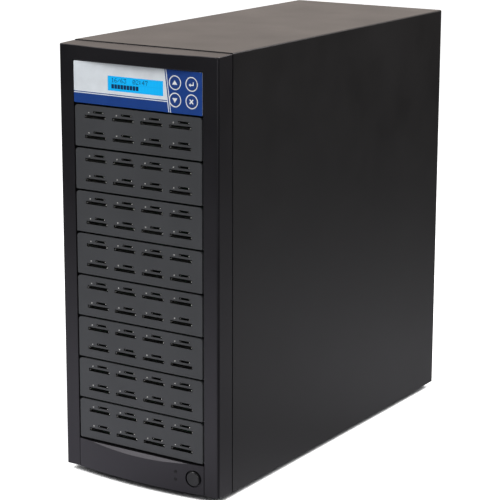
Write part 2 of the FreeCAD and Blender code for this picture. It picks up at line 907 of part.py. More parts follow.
def cross_pin(radius, x, z, reach):
    start = FreeCAD.Vector(x - reach, rocker_axis_y(), z)
    return Part.makeCylinder(radius, 2 * reach, start, FreeCAD.Vector(1, 0, 0))


def make_rocker():
    # The paddle at rest, its lower end pressed in.
    x, z = inlet_x, rocker_z
    axis_y = rocker_axis_y()
    half_z = rocker_height / 2
    outline = [(-half_z, rocker_lift), (0, rocker_dip), (half_z, rocker_lift)]
    outline += [(half_z / 2, -rocker_depth), (-half_z / 2, -rocker_depth)]
    points = [(axis_y + y, z + rise) for rise, y in outline]
    paddle = along_x(points, x - rocker_width / 2, x + rocker_width / 2)
    paddle = paddle.fuse(cross_pin(rocker_pin_radius, x, z, rocker_width / 2 + rocker_pin_length))
    paddle.rotate(FreeCAD.Vector(x, axis_y, z), FreeCAD.Vector(1, 0, 0), -rocker_tilt)
    return paddle.removeSplitter()


# Exhaust fan


def make_fan_frame():
    front = rear_inner - fan_depth
    y0, y1 = front - past, rear_inner + past
    hole = screw_shank_radius + screw_hole_gap
    holes = [rod(hole, x, z, y0, y1) for x, z in fan_screw_places()]
    body = block(0, fan_z, fan_size, fan_size, front, rear_inner)
    body = body.cut(holes + [rod(fan_bore_radius, 0, fan_z, y0, y1)])
    strut_back = front + fan_strut_depth
    reach = 2 * (fan_bore_radius + fan_wall / 2)
    motor = rod(fan_hub_radius, 0, fan_z, front, strut_back)
    cross = [
        block(0, fan_z, reach, fan_strut_width, front, strut_back),
        block(0, fan_z, fan_strut_width, reach, front, strut_back),
    ]
    sleeve = rod(fan_sleeve_radius, 0, fan_z, front, strut_back + fan_sleeve_length)
    bore = rod(fan_shaft_radius + fan_shaft_gap, 0, fan_z, front + sheet, rear_inner)
    return body.fuse(cross + [motor, sleeve]).cut(bore).removeSplitter()


def make_fan_blade(turn):
    # One cambered blade, set at its pitch and turned to its place about the hub.
    front = rear_inner - fan_depth
    start, tip = fan_hub_radius - fan_wall, fan_bore_radius - fan_tip_gap
    middle_y = front + fan_strut_depth + fan_hub_gap + fan_hub_depth / 2
    half = fan_chord / 2
    lower = [FreeCAD.Vector(x, y, start) for x, y in ((-half, 0), (0, fan_camber), (half, 0))]
    lift = FreeCAD.Vector(0, fan_blade_thickness, 0)
    upper = [point + lift for point in lower]
    wire = Part.Wire(
        [
            Part.Arc(*lower).toShape(),
            Part.makeLine(lower[2], upper[2]),
            Part.Arc(upper[2], upper[1], upper[0]).toShape(),
            Part.makeLine(upper[0], lower[0]),
        ]
    )
    blade = Part.Face(wire).extrude(FreeCAD.Vector(0, 0, tip - start))
    blade.rotate(FreeCAD.Vector(0, 0, 0), FreeCAD.Vector(0, 0, 1), fan_pitch)
    blade.translate(FreeCAD.Vector(0, middle_y, fan_z))
    blade.rotate(FreeCAD.Vector(0, middle_y, fan_z), FreeCAD.Vector(0, 1, 0), turn)
    return blade


def make_fan_rotor():
    front = rear_inner - fan_depth + fan_strut_depth + fan_hub_gap
    back = front + fan_hub_depth
    cup = rod(fan_hub_radius, 0, fan_z, front, back)
    cup = cup.cut(rod(fan_hub_radius - fan_wall, 0, fan_z, front - past, back - fan_wall))
    shaft = rod(fan_shaft_radius, 0, fan_z, front, back)
    blades = [make_fan_blade(360 * i / fan_blades) for i in range(fan_blades)]
    hollow = rod(fan_hub_radius - fan_wall / 2, 0, fan_z, front - fan_depth, back + fan_depth)
    blades = [blade.cut(hollow) for blade in blades]
    return cup.fuse(blades + [shaft]).removeSplitter()


# Wiring


def make_data_ribbon():
    # A flat cable up the back of the trays, with a connector on each board.
    start = cable_front
    levels = [level for bay in range(card_bays) for level in board_levels(bay)]
    top = board_levels(card_bays)[0]
    half = ribbon_width / 2
    pieces = [box(-half, half, start, start + ribbon_thickness, levels[0], top)]
    board_end = board_front + board_depth
    for level in levels:
        seat = level + board_thickness
        pieces.append(box(-half, half, board_end - connector_overlap, start, seat, seat + connector_height))
    pieces.append(box(-half, half, start, start + connector_height, top - connector_height, top))
    return pieces


def make_power_harness():
    # The supply's leads, bound flat, forward from the supply and up behind the trays.
    back = rear_inner - supply_depth
    front = cable_front
    z0 = supply_floor + harness_rise
    z1 = board_levels(card_bays)[0]
    outline = [
        (back, z0),
        (front, z0),
        (front, z1),
        (front + harness_thickness, z1),
        (front + harness_thickness, z0 + harness_thickness),
        (back, z0 + harness_thickness),
    ]
    return along_x(outline, harness_x - harness_width / 2, harness_x + harness_width / 2)


def all_parts():
    module_bays = list(range(card_bays))
    slots = [place for bay in module_bays for place in slot_places(bay)]
    keys = dict(zip(("key_up", "key_down", "key_enter", "key_escape"), key_places()))
    right_cage, left_cage = both_sides(make_cage_plate())
    parts = {
        "base_pan": [make_base_pan()],
        "rear_panel": [make_rear_panel()],
        "front_frame": [make_front_frame()],
        "cage_plate_left": [left_cage],
        "cage_plate_right": [right_cage],
        "top_rails": both_sides(make_top_rail()),
        "hood_cover": [make_hood()],
        "hood_screws": [make_hood_screw(x, z) for x, z in hood_screw_places],
        "front_bezel": [make_bezel()],
        "chin_cover": [make_chin()],
        "power_button": [make_power_button()],
        "power_switch": [make_power_switch()],
        "status_leds": [make_status_led(rise) for rise in status_led_rises],
        "feet": [make_foot(x, y) for x, y in foot_places],
        "foot_screws": [make_foot_screw(x, y) for x, y in foot_places],
        "card_boards": [
            make_board(level, board_front, board_depth) for bay in module_bays for level in board_levels(bay)
        ],
        "sd_sockets": [make_sd_socket(x, z) for x, z in slots],
        "microsd_sockets": [make_microsd_socket(x, z) for x, z in slots],
        "slot_leds": [make_slot_led(x, z) for x, z in slots],
        "bay_screws": [screw for bay in range(bay_count) for screw in both_sides(make_bay_screw(bay))],
        "control_overlay": [make_overlay()],
        "control_panel": [make_control_panel()],
        "lcd_glass": [make_lcd_glass()],
        "lcd_module": make_lcd_module(),
        "key_board": make_key_board(),
        "controller_board": make_controller_board(),
        "control_tray": [make_control_tray()],
        "power_supply": [make_supply()],
        "mains_inlet": [make_inlet()],
        "rocker_frame": [make_rocker_frame()],
        "mains_rocker": [make_rocker()],
        "psu_screws": [rear_screw(x, z, screw_length) for x, z in supply_screw_places()],
        "rear_fan_frame": [make_fan_frame()],
        "rear_fan_rotor": [make_fan_rotor()],
        "fan_screws": [rear_screw(x, z, fan_screw_length) for x, z in fan_screw_places()],
        "data_ribbon": make_data_ribbon(),
        "power_harness": [make_power_harness()],
    }
    for number in range(1, card_bays + 1):
        bay = card_bays - number
        parts["card_panel_%d" % number] = [make_card_panel(bay)]
        parts["card_tray_%d" % number] = [make_tray(bay, panel_back, tray_depth)]
    for name, (x, z) in keys.items():
        parts[name] = [make_key(x, z)]
    return parts


os.makedirs("parts", exist_ok=True)
for name, solids in all_parts().items():
    shape = solids[0] if len(solids) == 1 else Part.makeCompound(solids)
    shape.exportStep("parts/%s.step" % name)
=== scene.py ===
"""Looks of a memory card duplicator tower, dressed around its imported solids.

Metres. +Z is up and the front faces -Y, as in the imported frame. Sizes in the classes are in millimetres,
apart from the studio's, which are in metres.
"""
from __future__ import annotations

import json
import logging
import math
import random
from dataclasses import dataclass, field
from enum import Enum
from typing import Any, Sequence

import bmesh
import bpy
from mathutils import Matrix, Vector


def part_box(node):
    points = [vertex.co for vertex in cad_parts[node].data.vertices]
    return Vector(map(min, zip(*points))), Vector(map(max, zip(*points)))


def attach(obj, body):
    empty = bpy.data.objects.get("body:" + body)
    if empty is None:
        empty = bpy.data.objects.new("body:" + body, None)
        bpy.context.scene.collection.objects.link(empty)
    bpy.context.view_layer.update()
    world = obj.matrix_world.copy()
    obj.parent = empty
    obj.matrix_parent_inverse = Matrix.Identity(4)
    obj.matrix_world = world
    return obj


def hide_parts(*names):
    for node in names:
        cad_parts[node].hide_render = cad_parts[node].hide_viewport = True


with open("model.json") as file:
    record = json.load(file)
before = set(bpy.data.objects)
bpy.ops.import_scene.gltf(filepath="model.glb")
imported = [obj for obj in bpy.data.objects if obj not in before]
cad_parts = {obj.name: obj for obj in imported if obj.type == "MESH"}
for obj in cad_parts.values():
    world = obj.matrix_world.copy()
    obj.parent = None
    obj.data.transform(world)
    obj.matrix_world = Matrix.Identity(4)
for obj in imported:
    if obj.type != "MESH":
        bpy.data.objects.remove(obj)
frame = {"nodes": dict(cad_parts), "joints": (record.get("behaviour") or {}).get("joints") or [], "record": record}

log = logging.getLogger("card_duplicator")

MM = 0.001
BLACK = (0.0, 0.0, 0.0)
WHITE = (1.0, 1.0, 1.0)
DUST_COLOR = (0.42, 0.4, 0.37)
DISPLAY_CELL = (3.55, 5.95)

Color = tuple[float, float, float]
Place = tuple[float, float, float]
Point = tuple[float, float]
Outline = Sequence[Point]
Geometry = bmesh.types.BMesh
Socket = bpy.types.NodeSocket
Tree = bpy.types.NodeTree
Material = bpy.types.Material


class Effect(Enum):
    """Surface effects that several finishes share."""

    GRAIN = "moulded_grain"
    WEAR = "edge_wear"
    DUST = "settled_dust"
    SPANGLE = "zinc_spangle"
    SMUDGE = "handling_smudge"


Groups = dict[Effect, Tree]


class Icon(Enum):
    """Marks printed on the four keys."""

    UP = "up"
    DOWN = "down"
    ACCEPT = "accept"
    CANCEL = "cancel"


class Wiring:
    """Places and joins the nodes of one node tree."""

    def __init__(self, tree: Tree, groups: Groups | None = None) -> None:
        """Keeps the tree that the nodes go into and the effects that it can use."""
        self.tree = tree
        self.groups = groups or {}

    def feed(self, node: bpy.types.Node, inputs: dict[Any, Any]) -> None:
        """Sets or links a node's inputs.

        Args:
            node: The node.
            inputs: Values or sockets, by the inputs' names or numbers.
        """
        for key, value in inputs.items():
            if isinstance(value, Socket):
                self.tree.links.new(value, node.inputs[key])
            else:
                node.inputs[key].default_value = value

    def node(self, kind: str, inputs: dict[Any, Any] | None = None, **settings: Any) -> bpy.types.Node:
        """Adds one node.

        Args:
            kind: The node's type without its ShaderNode prefix.
            inputs: Values or sockets for its inputs, by name or number.
            settings: Values for the node's own properties.

        Returns:
            The new node.
        """
        made = self.tree.nodes.new("ShaderNode" + kind)
        for key, value in settings.items():
            setattr(made, key, value)
        self.feed(made, inputs or {})
        return made

    def math(self, operation: str, *values: Any) -> Socket:
        """Returns the result of arithmetic on up to three numbers or sockets."""
        return self.node("Math", dict(enumerate(values)), operation=operation).outputs[0]

    def vector(self, operation: str, *values: Any) -> Any:
        """Returns the outputs, Vector and Value, of arithmetic on vectors."""
        return self.node("VectorMath", dict(enumerate(values)), operation=operation).outputs

    def blend(self, factor: Any, low: Any, high: Any) -> Socket:
        """Mixes two colours.

        Args:
            factor: 0 gives the low colour and 1 the high one.
            low: A colour or a socket.
            high: A colour or a socket.

        Returns:
            The mixed colour's socket.
        """
        low = (*low, 1.0) if isinstance(low, tuple) else low
        high = (*high, 1.0) if isinstance(high, tuple) else high
        return self.node("Mix", {0: factor, 6: low, 7: high}, data_type="RGBA").outputs[2]

    def spread(self, value: Socket, start: float, end: float, low: float = 0.0, high: float = 1.0) -> Socket:
        """Maps a value from one range to another and clamps it.

        Args:
            value: The value's socket.
            start: The value that gives low.
            end: The value that gives high.
            low: The result at start.
            high: The result at end.

        Returns:
            The mapped value's socket.
        """
        return self.node("MapRange", {0: value, 1: start, 2: end, 3: low, 4: high}).outputs[0]

    def bump(self, height: Socket, depth: float) -> Socket:
        """Returns the normal of a relief of that depth in millimetres."""
        return self.node("Bump", {"Strength": 1.0, "Distance": depth * MM, "Height": height}).outputs[0]

    def place(self) -> Socket:
        """Returns the place on the object."""
        return self.node("TexCoord").outputs["Object"]

    def effect(self, effect: Effect, **values: float) -> Any:
        """Places a shared effect with its own values and returns its outputs."""
        return self.node("Group", values, node_tree=self.groups[effect]).outputs


@dataclass
class EffectLibrary:
    """Node groups for the shared effects, each built once.

    A range is the stretch of a noise, a turn or a slope over which an effect grows from none to full.
    """

    blotch_range: Point = (0.3, 0.7)
    edge_range: Point = (0.98, 0.8)
    break_range: Point = (0.42, 0.62)
    wear_in_breaks: float = 0.1
    lying_range: Point = (0.55, 0.98)
    speck_range: Point = (0.4, 0.75)
    dust_in_gaps: float = 0.15
    line_stretch: Place = (900.0, 900.0, 20.0)
    smudge_range: Point = (0.35, 0.7)

    def build(self) -> Groups:
        """Returns the groups by effect."""
        return {
            Effect.GRAIN: self.build_grain(),
            Effect.WEAR: self.build_wear(),
            Effect.DUST: self.build_dust(),
            Effect.SPANGLE: self.build_spangle(),
            Effect.SMUDGE: self.build_smudge(),
        }

    def start_group(self, effect: Effect, **inputs: float) -> tuple[Wiring, Any, Socket]:
        """Starts a group with number inputs.

        Args:
            effect: The effect that the group is for.
            inputs: Input names with their usual values.

        Returns:
            The group's wiring, its inputs' sockets and the place on the object.
        """
        wiring = Wiring(bpy.data.node_groups.new(effect.value, "ShaderNodeTree"))
        for label, value in inputs.items():
            socket = wiring.tree.interface.new_socket(label, in_out="INPUT", socket_type="NodeSocketFloat")
            socket.default_value = value
        return wiring, wiring.tree.nodes.new("NodeGroupInput").outputs, wiring.place()

    def close_group(self, wiring: Wiring, **outputs: Socket) -> Tree:
        """Gives a group its number outputs.

        Args:
            wiring: The group's wiring.
            outputs: What it puts out, by name.

        Returns:
            The finished group.
        """
        for label in outputs:
            wiring.tree.interface.new_socket(label, in_out="OUTPUT", socket_type="NodeSocketFloat")
        wiring.feed(wiring.tree.nodes.new("NodeGroupOutput"), outputs)
        return wiring.tree

    def build_grain(self) -> Tree:
        """Builds the fine pebble grain of moulded plastic and powder paint."""
        wiring, given, place = self.start_group(Effect.GRAIN, Cells=2000.0, Blotches=30.0)
        fine = wiring.node("TexNoise", {"Vector": place, "Scale": given["Cells"], "Detail": 2.0})
        pebble = wiring.node("TexVoronoi", {"Vector": place, "Scale": given["Cells"]})
        height = wiring.math("MULTIPLY_ADD", pebble.outputs["Distance"], 0.5, fine.outputs[0])
        broad = wiring.node("TexNoise", {"Vector": place, "Scale": given["Blotches"], "Detail": 4.0})
        blotch = wiring.spread(broad.outputs[0], *self.blotch_range)
        return self.close_group(wiring, Height=height, Blotch=blotch)

    def build_wear(self) -> Tree:
        """Builds the broken line of rubbed edges, from how far the rounded normal turns there."""
        wiring, given, place = self.start_group(Effect.WEAR, Width=0.0004, Breaks=160.0)
        rounded = wiring.node("Bevel", {"Radius": given["Width"]}, samples=4).outputs[0]
        normal = wiring.node("NewGeometry").outputs["Normal"]
        edge = wiring.spread(wiring.vector("DOT_PRODUCT", rounded, normal)["Value"], *self.edge_range)
        breaks = wiring.node("TexNoise", {"Vector": place, "Scale": given["Breaks"], "Detail": 5.0})
        rubbed = wiring.spread(breaks.outputs[0], *self.break_range, self.wear_in_breaks)
        return self.close_group(wiring, Wear=wiring.math("MULTIPLY", edge, rubbed))

    def build_dust(self) -> Tree:
        """Builds the thin dust that lies on faces that look up."""
        wiring, given, place = self.start_group(Effect.DUST, Specks=900.0)
        normal = wiring.node("NewGeometry").outputs["Normal"]
        lying = wiring.spread(wiring.node("SeparateXYZ", {0: normal}).outputs["Z"], *self.lying_range)
        specks = wiring.node("TexNoise", {"Vector": place, "Scale": given["Specks"], "Detail": 6.0})
        thin = wiring.spread(specks.outputs[0], *self.speck_range, self.dust_in_gaps)
        return self.close_group(wiring, Dust=wiring.math("MULTIPLY", lying, thin))

    def build_spangle(self) -> Tree:
        """Builds the flakes of zinc plating, each with its own tone, and fine rolling lines."""
        wiring, given, place = self.start_group(Effect.SPANGLE, Flakes=350.0)
        flakes = wiring.node("TexVoronoi", {"Vector": place, "Scale": given["Flakes"]})
        tone = wiring.node("SeparateColor", {0: flakes.outputs["Color"]}).outputs[0]
        stretched = wiring.node("Mapping", {"Vector": place, "Scale": self.line_stretch}).outputs[0]
        lines = wiring.node("TexNoise", {"Vector": stretched, "Scale": 4.0, "Detail": 3.0})
        return self.close_group(wiring, Tone=tone, Lines=lines.outputs[0])

    def build_smudge(self) -> Tree:
        """Builds the soft patches that fingers leave on smooth faces."""
        wiring, given, place = self.start_group(Effect.SMUDGE, Patches=70.0)
        noise = {"Vector": place, "Scale": given["Patches"], "Detail": 3.0, "Distortion": 1.5}
        patches = wiring.node("TexNoise", noise).outputs[0]
        return self.close_group(wiring, Smudge=wiring.spread(patches, *self.smudge_range))


def scaled(color: Color, share: float) -> Color:
    """Returns a colour with each channel times share."""
    return tuple(min(channel * share, 1.0) for channel in color)


def open_material(name: str, groups: Groups | None = None) -> tuple[Material, Wiring, bpy.types.Node]:
    """Starts a material.

    Args:
        name: The material's name.
        groups: The shared effects, if it uses any.

    Returns:
        The material, its wiring and its Principled shader.
    """
    material = bpy.data.materials.new(name)
    material.use_nodes = True
    material.node_tree.nodes.clear()
    wiring = Wiring(material.node_tree, groups)
    shader = wiring.node("BsdfPrincipled")
    wiring.node("OutputMaterial", {"Surface": shader.outputs[0]})
    return material, wiring, shader


@dataclass(frozen=True)
class Finish:
    """A surface of one main colour, which each kind of finish dresses in its own way."""

    name: str
    color: Color

    def tones(self, share: float) -> tuple[Color, Color]:
        """Returns the colour darkened and brightened by a share."""
        return scaled(self.color, 1 - share), scaled(self.color, 1 + share)

    def inputs(self, wiring: Wiring) -> dict[str, Any]:
        """Works out what the shader gets.

        Args:
            wiring: The material's wiring.

        Returns:
            Values and sockets by input name.
        """
        raise NotImplementedError

    def material(self, groups: Groups) -> Material:
        """Builds the finish.

        Args:
            groups: The shared effects.

        Returns:
            The material.
        """
        material, wiring, shader = open_material(self.name, groups)
        wiring.feed(shader, self.inputs(wiring))
        return material


@dataclass(frozen=True)
class Coating(Finish):
    """A moulded, rubbery or painted surface with grain, blotches, rubbed edges and dust."""

    roughness: float
    grain: float = 0.4
    depth: float = 0.006
    blotch: float = 0.1
    blotch_size: float = 20.0
    wear: float = 0.0
    wear_width: float = 0.3
    dust: float = 0.0
    specular: float = 0.5
    coat: float = 0.0
    tint: Color = WHITE
    smoother: float = 0.02
    rougher: float = 0.03
    worn_share: float = 0.7
    worn_paler: float = 0.08
    coat_roughness: float = 0.12

    def inputs(self, wiring: Wiring) -> dict[str, Any]:
        """Works out what the shader gets.

        Args:
            wiring: The material's wiring.

        Returns:
            Values and sockets by input name.
        """
        counts = {"Cells": 1.0 / (self.grain * MM), "Blotches": 1.0 / (self.blotch_size * MM)}
        grain = wiring.effect(Effect.GRAIN, **counts)
        rubbed = wiring.effect(Effect.WEAR, Width=self.wear_width * MM)["Wear"]
        settled = wiring.effect(Effect.DUST)["Dust"]
        color = wiring.blend(grain["Blotch"], *self.tones(self.blotch))
        pale = tuple(channel * self.worn_share + self.worn_paler for channel in self.color)
        color = wiring.blend(wiring.math("MULTIPLY", rubbed, self.wear), color, pale)
        limits = self.roughness - self.smoother, self.roughness + self.rougher
        return {
            "Base Color": wiring.blend(wiring.math("MULTIPLY", settled, self.dust), color, DUST_COLOR),
            "Roughness": wiring.spread(grain["Blotch"], 0.0, 1.0, *limits),
            "Normal": wiring.bump(grain["Height"], self.depth),
            "Specular IOR Level": self.specular,
            "Specular Tint": (*self.tint, 1.0),
            "Coat Weight": self.coat,
            "Coat Roughness": self.coat_roughness,
        }


@dataclass(frozen=True)
class PlatedMetal(Finish):
    """A plated metal surface with flakes, rolling lines and dull patches."""

    roughness: float
    flake: float
    contrast: float
    lines: float = 0.004
    patches: float = 45.0
    dull: float = 0.35
    dull_tone: float = 0.7
    dull_roughness: float = 0.12

    def inputs(self, wiring: Wiring) -> dict[str, Any]:
        """Works out what the shader gets.

        Args:
            wiring: The material's wiring.

        Returns:
            Values and sockets by input name.
        """
        spangle = wiring.effect(Effect.SPANGLE, Flakes=1.0 / (self.flake * MM))
        smudge = wiring.effect(Effect.SMUDGE, Patches=self.patches)["Smudge"]
        color = wiring.blend(spangle["Tone"], *self.tones(self.contrast))
        dull = wiring.math("MULTIPLY", smudge, self.dull)
        return {
            "Base Color": wiring.blend(dull, color, scaled(self.color, self.dull_tone)),
            "Roughness": wiring.math("MULTIPLY_ADD", smudge, self.dull_roughness, self.roughness),
            "Normal": wiring.bump(spangle["Lines"], self.lines),
            "Metallic": 1.0,
        }


@dataclass(frozen=True)
class PrintedInk(Finish):
    """Screen-printed ink or the bare film under it: satin, faintly mottled, with handling marks."""

    roughness: float = 0.32
    mottle: float = 0.05
    specular: float = 0.4
    cells: float = 5000.0
    blotches: float = 90.0
    patches: float = 60.0
    smudged: float = 0.1
    depth: float = 0.004

    def inputs(self, wiring: Wiring) -> dict[str, Any]:
        """Works out what the shader gets.

        Args:
            wiring: The material's wiring.

        Returns:
            Values and sockets by input name.
        """
        grain = wiring.effect(Effect.GRAIN, Cells=self.cells, Blotches=self.blotches)
        smudge = wiring.effect(Effect.SMUDGE, Patches=self.patches)["Smudge"]
        return {
            "Base Color": wiring.blend(grain["Blotch"], *self.tones(self.mottle)),
            "Roughness": wiring.math("MULTIPLY_ADD", smudge, self.smudged, self.roughness),
            "Normal": wiring.bump(grain["Height"], self.depth),
            "Specular IOR Level": self.specular,
        }


@dataclass(frozen=True)
class BacklitGlass(Finish):
    """A lit display: blue light in a faint lattice of character cells, a little dimmer towards its ends."""

    gap: Color
    strength: float
    unlit: Color = (0.003, 0.02, 0.05)
    specular: float = 0.25
    patches: float = 50.0
    roughness: Point = (0.1, 0.2)
    gap_range: Point = (0.4, 0.46)
    gap_share: float = 0.22
    dim_power: float = 3.0
    dim_share: float = 0.16

    def inputs(self, wiring: Wiring) -> dict[str, Any]:
        """Works out what the shader gets.

        Args:
            wiring: The material's wiring.

        Returns:
            Values and sockets by input name.
        """
        low, high = node_box("lcd_glass")
        x, z = middle("lcd_glass")
        axes = wiring.node("SeparateXYZ", {0: wiring.place()}).outputs
        across = wiring.math("SUBTRACT", axes["X"], x * MM)
        rise = wiring.math("SUBTRACT", axes["Z"], z * MM)
        lattice = []
        for axis, pitch in zip((across, rise), DISPLAY_CELL):
            turn = wiring.math("FRACT", wiring.math("DIVIDE", axis, pitch * MM))
            from_middle = wiring.math("ABSOLUTE", wiring.math("SUBTRACT", turn, 0.5))
            lattice.append(wiring.spread(from_middle, *self.gap_range))
        gaps = wiring.math("MULTIPLY", wiring.math("MAXIMUM", *lattice), self.gap_share)
        reach = wiring.math("DIVIDE", wiring.math("ABSOLUTE", across), (high.x - low.x) / 2 * MM)
        dim = wiring.math("MULTIPLY", wiring.math("POWER", reach, self.dim_power), self.dim_share)
        smudge = wiring.effect(Effect.SMUDGE, Patches=self.patches)["Smudge"]
        return {
            "Emission Color": wiring.blend(wiring.math("MAXIMUM", gaps, dim), self.color, self.gap),
            "Emission Strength": self.strength,
            "Base Color": (*self.unlit, 1.0),
            "Roughness": wiring.spread(smudge, 0.0, 1.0, *self.roughness),
            "Specular IOR Level": self.specular,
        }


@dataclass(frozen=True)
class SolderMask(Finish):
    """A green circuit board with paler tracks and bright pads."""

    track: Color
    pad: Color
    ways: float = 220.0
    way_range: Point = (0.09, 0.05)
    dots: float = 400.0
    dot_range: Point = (0.2, 0.16)
    roughness: Point = (0.3, 0.42)

    def inputs(self, wiring: Wiring) -> dict[str, Any]:
        """Works out what the shader gets.

        Args:
            wiring: The material's wiring.

        Returns:
            Values and sockets by input name.
        """
        place = wiring.place()
        ways = wiring.node("TexVoronoi", {"Vector": place, "Scale": self.ways}, feature="DISTANCE_TO_EDGE")
        tracks = wiring.spread(ways.outputs["Distance"], *self.way_range)
        dots = wiring.node("TexVoronoi", {"Vector": place, "Scale": self.dots})
        pads = wiring.spread(dots.outputs["Distance"], *self.dot_range)
        smudge = wiring.effect(Effect.SMUDGE)["Smudge"]
        return {
            "Base Color": wiring.blend(pads, wiring.blend(tracks, self.color, self.track), self.pad),
            "Metallic": pads,
            "Roughness": wiring.spread(smudge, 0.0, 1.0, *self.roughness),
        }


@dataclass(frozen=True)
class CableJacket(Finish):
    """Soft insulation with the ribs of its wires, painted darker in the grooves and lighter on the ridges."""

    rib: float
    groove_shade_tone: float = 0.75
    ridge_highlight_tone: float = 1.1
    rib_depth: float = 0.1
    soil: float = 0.2
    soil_tone: float = 0.6
    roughness: Point = (0.45, 0.6)

    def inputs(self, wiring: Wiring) -> dict[str, Any]:
        """Works out what the shader gets.

        Args:
            wiring: The material's wiring.

        Returns:
            Values and sockets by input name.
        """
        waves = {"Vector": wiring.place(), "Scale": math.pi / (10 * self.rib * MM)}
        ribs = wiring.node("TexWave", waves, bands_direction="X").outputs[1]
        smudge = wiring.effect(Effect.SMUDGE)["Smudge"]
        # Painted shade in the grooves and painted highlight on the ridges of the ribs.
        shade = wiring.blend(ribs, scaled(self.color, self.groove_shade_tone), scaled(self.color, self.ridge_highlight_tone))
        soiled = wiring.math("MULTIPLY", smudge, self.soil)
        return {
            "Base Color": wiring.blend(soiled, shade, scaled(self.color, self.soil_tone)),
            "Roughness": wiring.spread(smudge, 0.0, 1.0, *self.roughness),
            "Normal": wiring.bump(ribs, self.rib_depth),
        }


class Palette:
    """The tower's finishes as materials, by name."""

    finishes = (
        Coating(
            "case_paint", (0.0102, 0.0099, 0.0099), 0.4, grain=0.7, depth=0.03, blotch=0.12, blotch_size=60.0,
            wear=0.1, wear_width=0.6, dust=0.015, tint=(0.95, 0.93, 1.0),
        ),
        Coating(
            "bezel_plastic", (0.0045, 0.0044, 0.0051), 0.4, grain=0.5, depth=0.012, blotch=0.12,
            blotch_size=50.0, wear=0.02, wear_width=0.5, dust=0.015, specular=0.58, tint=(0.95, 0.91, 1.0),
        ),
        Coating(
            "panel_plastic", (0.0608, 0.063, 0.067), 0.5, grain=0.5, depth=0.02, blotch=0.06,
            blotch_size=45.0, wear=0.15, dust=0.03, specular=0.24,
        ),
        Coating("key_plastic", (0.014, 0.056, 0.26), 0.34, blotch=0.06, wear=0.1, dust=0.02),
        Coating("button_plastic", (0.009, 0.009, 0.01), 0.3, wear=0.12, dust=0.02),
        Coating(
            "milky_lens", (0.48, 0.48, 0.465), 0.25, grain=0.3, depth=0.004, blotch=0.06, blotch_size=10.0,
            coat=0.4,
        ),
        Coating(
            "smoked_lens", (0.012, 0.012, 0.013), 0.5, grain=0.3, depth=0.004, blotch=0.06, blotch_size=10.0,
            specular=0.25,
        ),
        # Socket mouths in near-black, darker than plastic, as painted shade inside the card slots.
        Coating("mouth_plastic_and_shade", (0.0015, 0.0015, 0.0015), 0.7, blotch_size=10.0, specular=0.08),
        Coating(
            "foot_rubber", (0.018, 0.018, 0.018), 0.75, grain=0.8, depth=0.05, blotch=0.2, blotch_size=12.0,
            wear=0.2, wear_width=0.5, dust=0.1, specular=0.3,
        ),
        Coating(
            "fitting_plastic", (0.015, 0.015, 0.016), 0.4, grain=0.5, depth=0.01, blotch=0.12,
            blotch_size=30.0, wear=0.15, dust=0.06,
        ),
        PlatedMetal("chassis_steel", (0.56, 0.57, 0.58), 0.34, flake=4.0, contrast=0.1),
        PlatedMetal("socket_steel", (0.6, 0.59, 0.56), 0.3, flake=1.5, contrast=0.06),
        PlatedMetal("spring_steel", (0.9, 0.89, 0.86), 0.5, flake=0.6, contrast=0.05),
        PlatedMetal("screw_steel", (0.58, 0.57, 0.55), 0.28, flake=1.0, contrast=0.1),
        PlatedMetal("pin_metal", (0.72, 0.66, 0.52), 0.26, flake=1.0, contrast=0.08),
        PrintedInk("overlay_film", (0.84, 0.89, 0.93)),
        PrintedInk("blue_ink", (0.014, 0.06, 0.28), specular=0.3),
        PrintedInk("white_ink", (0.95, 0.96, 0.97)),
        PrintedInk("display_ink", (0.004, 0.035, 0.12), 0.4, mottle=0.1, specular=0.2),
        SolderMask("circuit_board", (0.012, 0.09, 0.035), track=(0.03, 0.17, 0.07), pad=(0.7, 0.6, 0.3)),
        CableJacket("cable_jacket", (0.32, 0.32, 0.33), rib=1.27),
        BacklitGlass("display_glass", (0.009, 0.47, 0.95), gap=(0.004, 0.22, 0.6), strength=0.95),
    )

    def __init__(self, groups: Groups) -> None:
        """Builds every finish once from the shared effects."""
        self.materials = {finish.name: finish.material(groups) for finish in self.finishes}

    def __getitem__(self, name: str) -> Material:
        """Returns the material of that name."""
        return self.materials[name]


def close_mesh(bm: Geometry, name: str, sharp: float = 30.0) -> bpy.types.Mesh:
    """Turns geometry into a mesh, smooth except at sharp edges.

    Args:
        bm: The geometry, which is freed.
        name: The mesh's name.
        sharp: Degrees above which an edge stays sharp.

    Returns:
        The mesh.
    """
    bmesh.ops.recalc_face_normals(bm, faces=bm.faces)
    mesh = bpy.data.meshes.new(name)
    bm.to_mesh(mesh)
    bm.free()
    mesh.shade_smooth()
    mesh.set_sharp_from_angle(angle=math.radians(sharp))
    return mesh


def turns(count: int) -> list[Point]:
    """Returns the cosine and sine of that many even steps round a circle."""
    steps = [2 * math.pi * i / count for i in range(count)]
    return [(math.cos(step), math.sin(step)) for step in steps]


def circle(x: float, z: float, radius: float, count: int = 40) -> list[Point]:
    """Returns the corners of a round outline."""
    return [(x + radius * cosine, z + radius * sine) for cosine, sine in turns(count)]


def turned(profile: Outline, segments: int = 48) -> Geometry:
    """Turns a profile about the Y axis.

    Args:
        profile: (radius, y) pairs in millimetres, from one end of the axis to the other.
        segments: Faces round the axis.

    Returns:
        The closed geometry, in metres.
    """
    bm = bmesh.new()
    rings = []
    for radius, along in profile:
        around = turns(segments) if radius else [(0.0, 0.0)]
        rings.append([bm.verts.new((radius * MM * c, along * MM, radius * MM * s)) for c, s in around])
    for lower, upper in zip(rings, rings[1:]):
        for i in range(segments):
            j = (i + 1) % segments
            corners = [ring[k % len(ring)] for ring, k in ((lower, i), (lower, j), (upper, j), (upper, i))]
            bm.faces.new(dict.fromkeys(corners))
    return bm


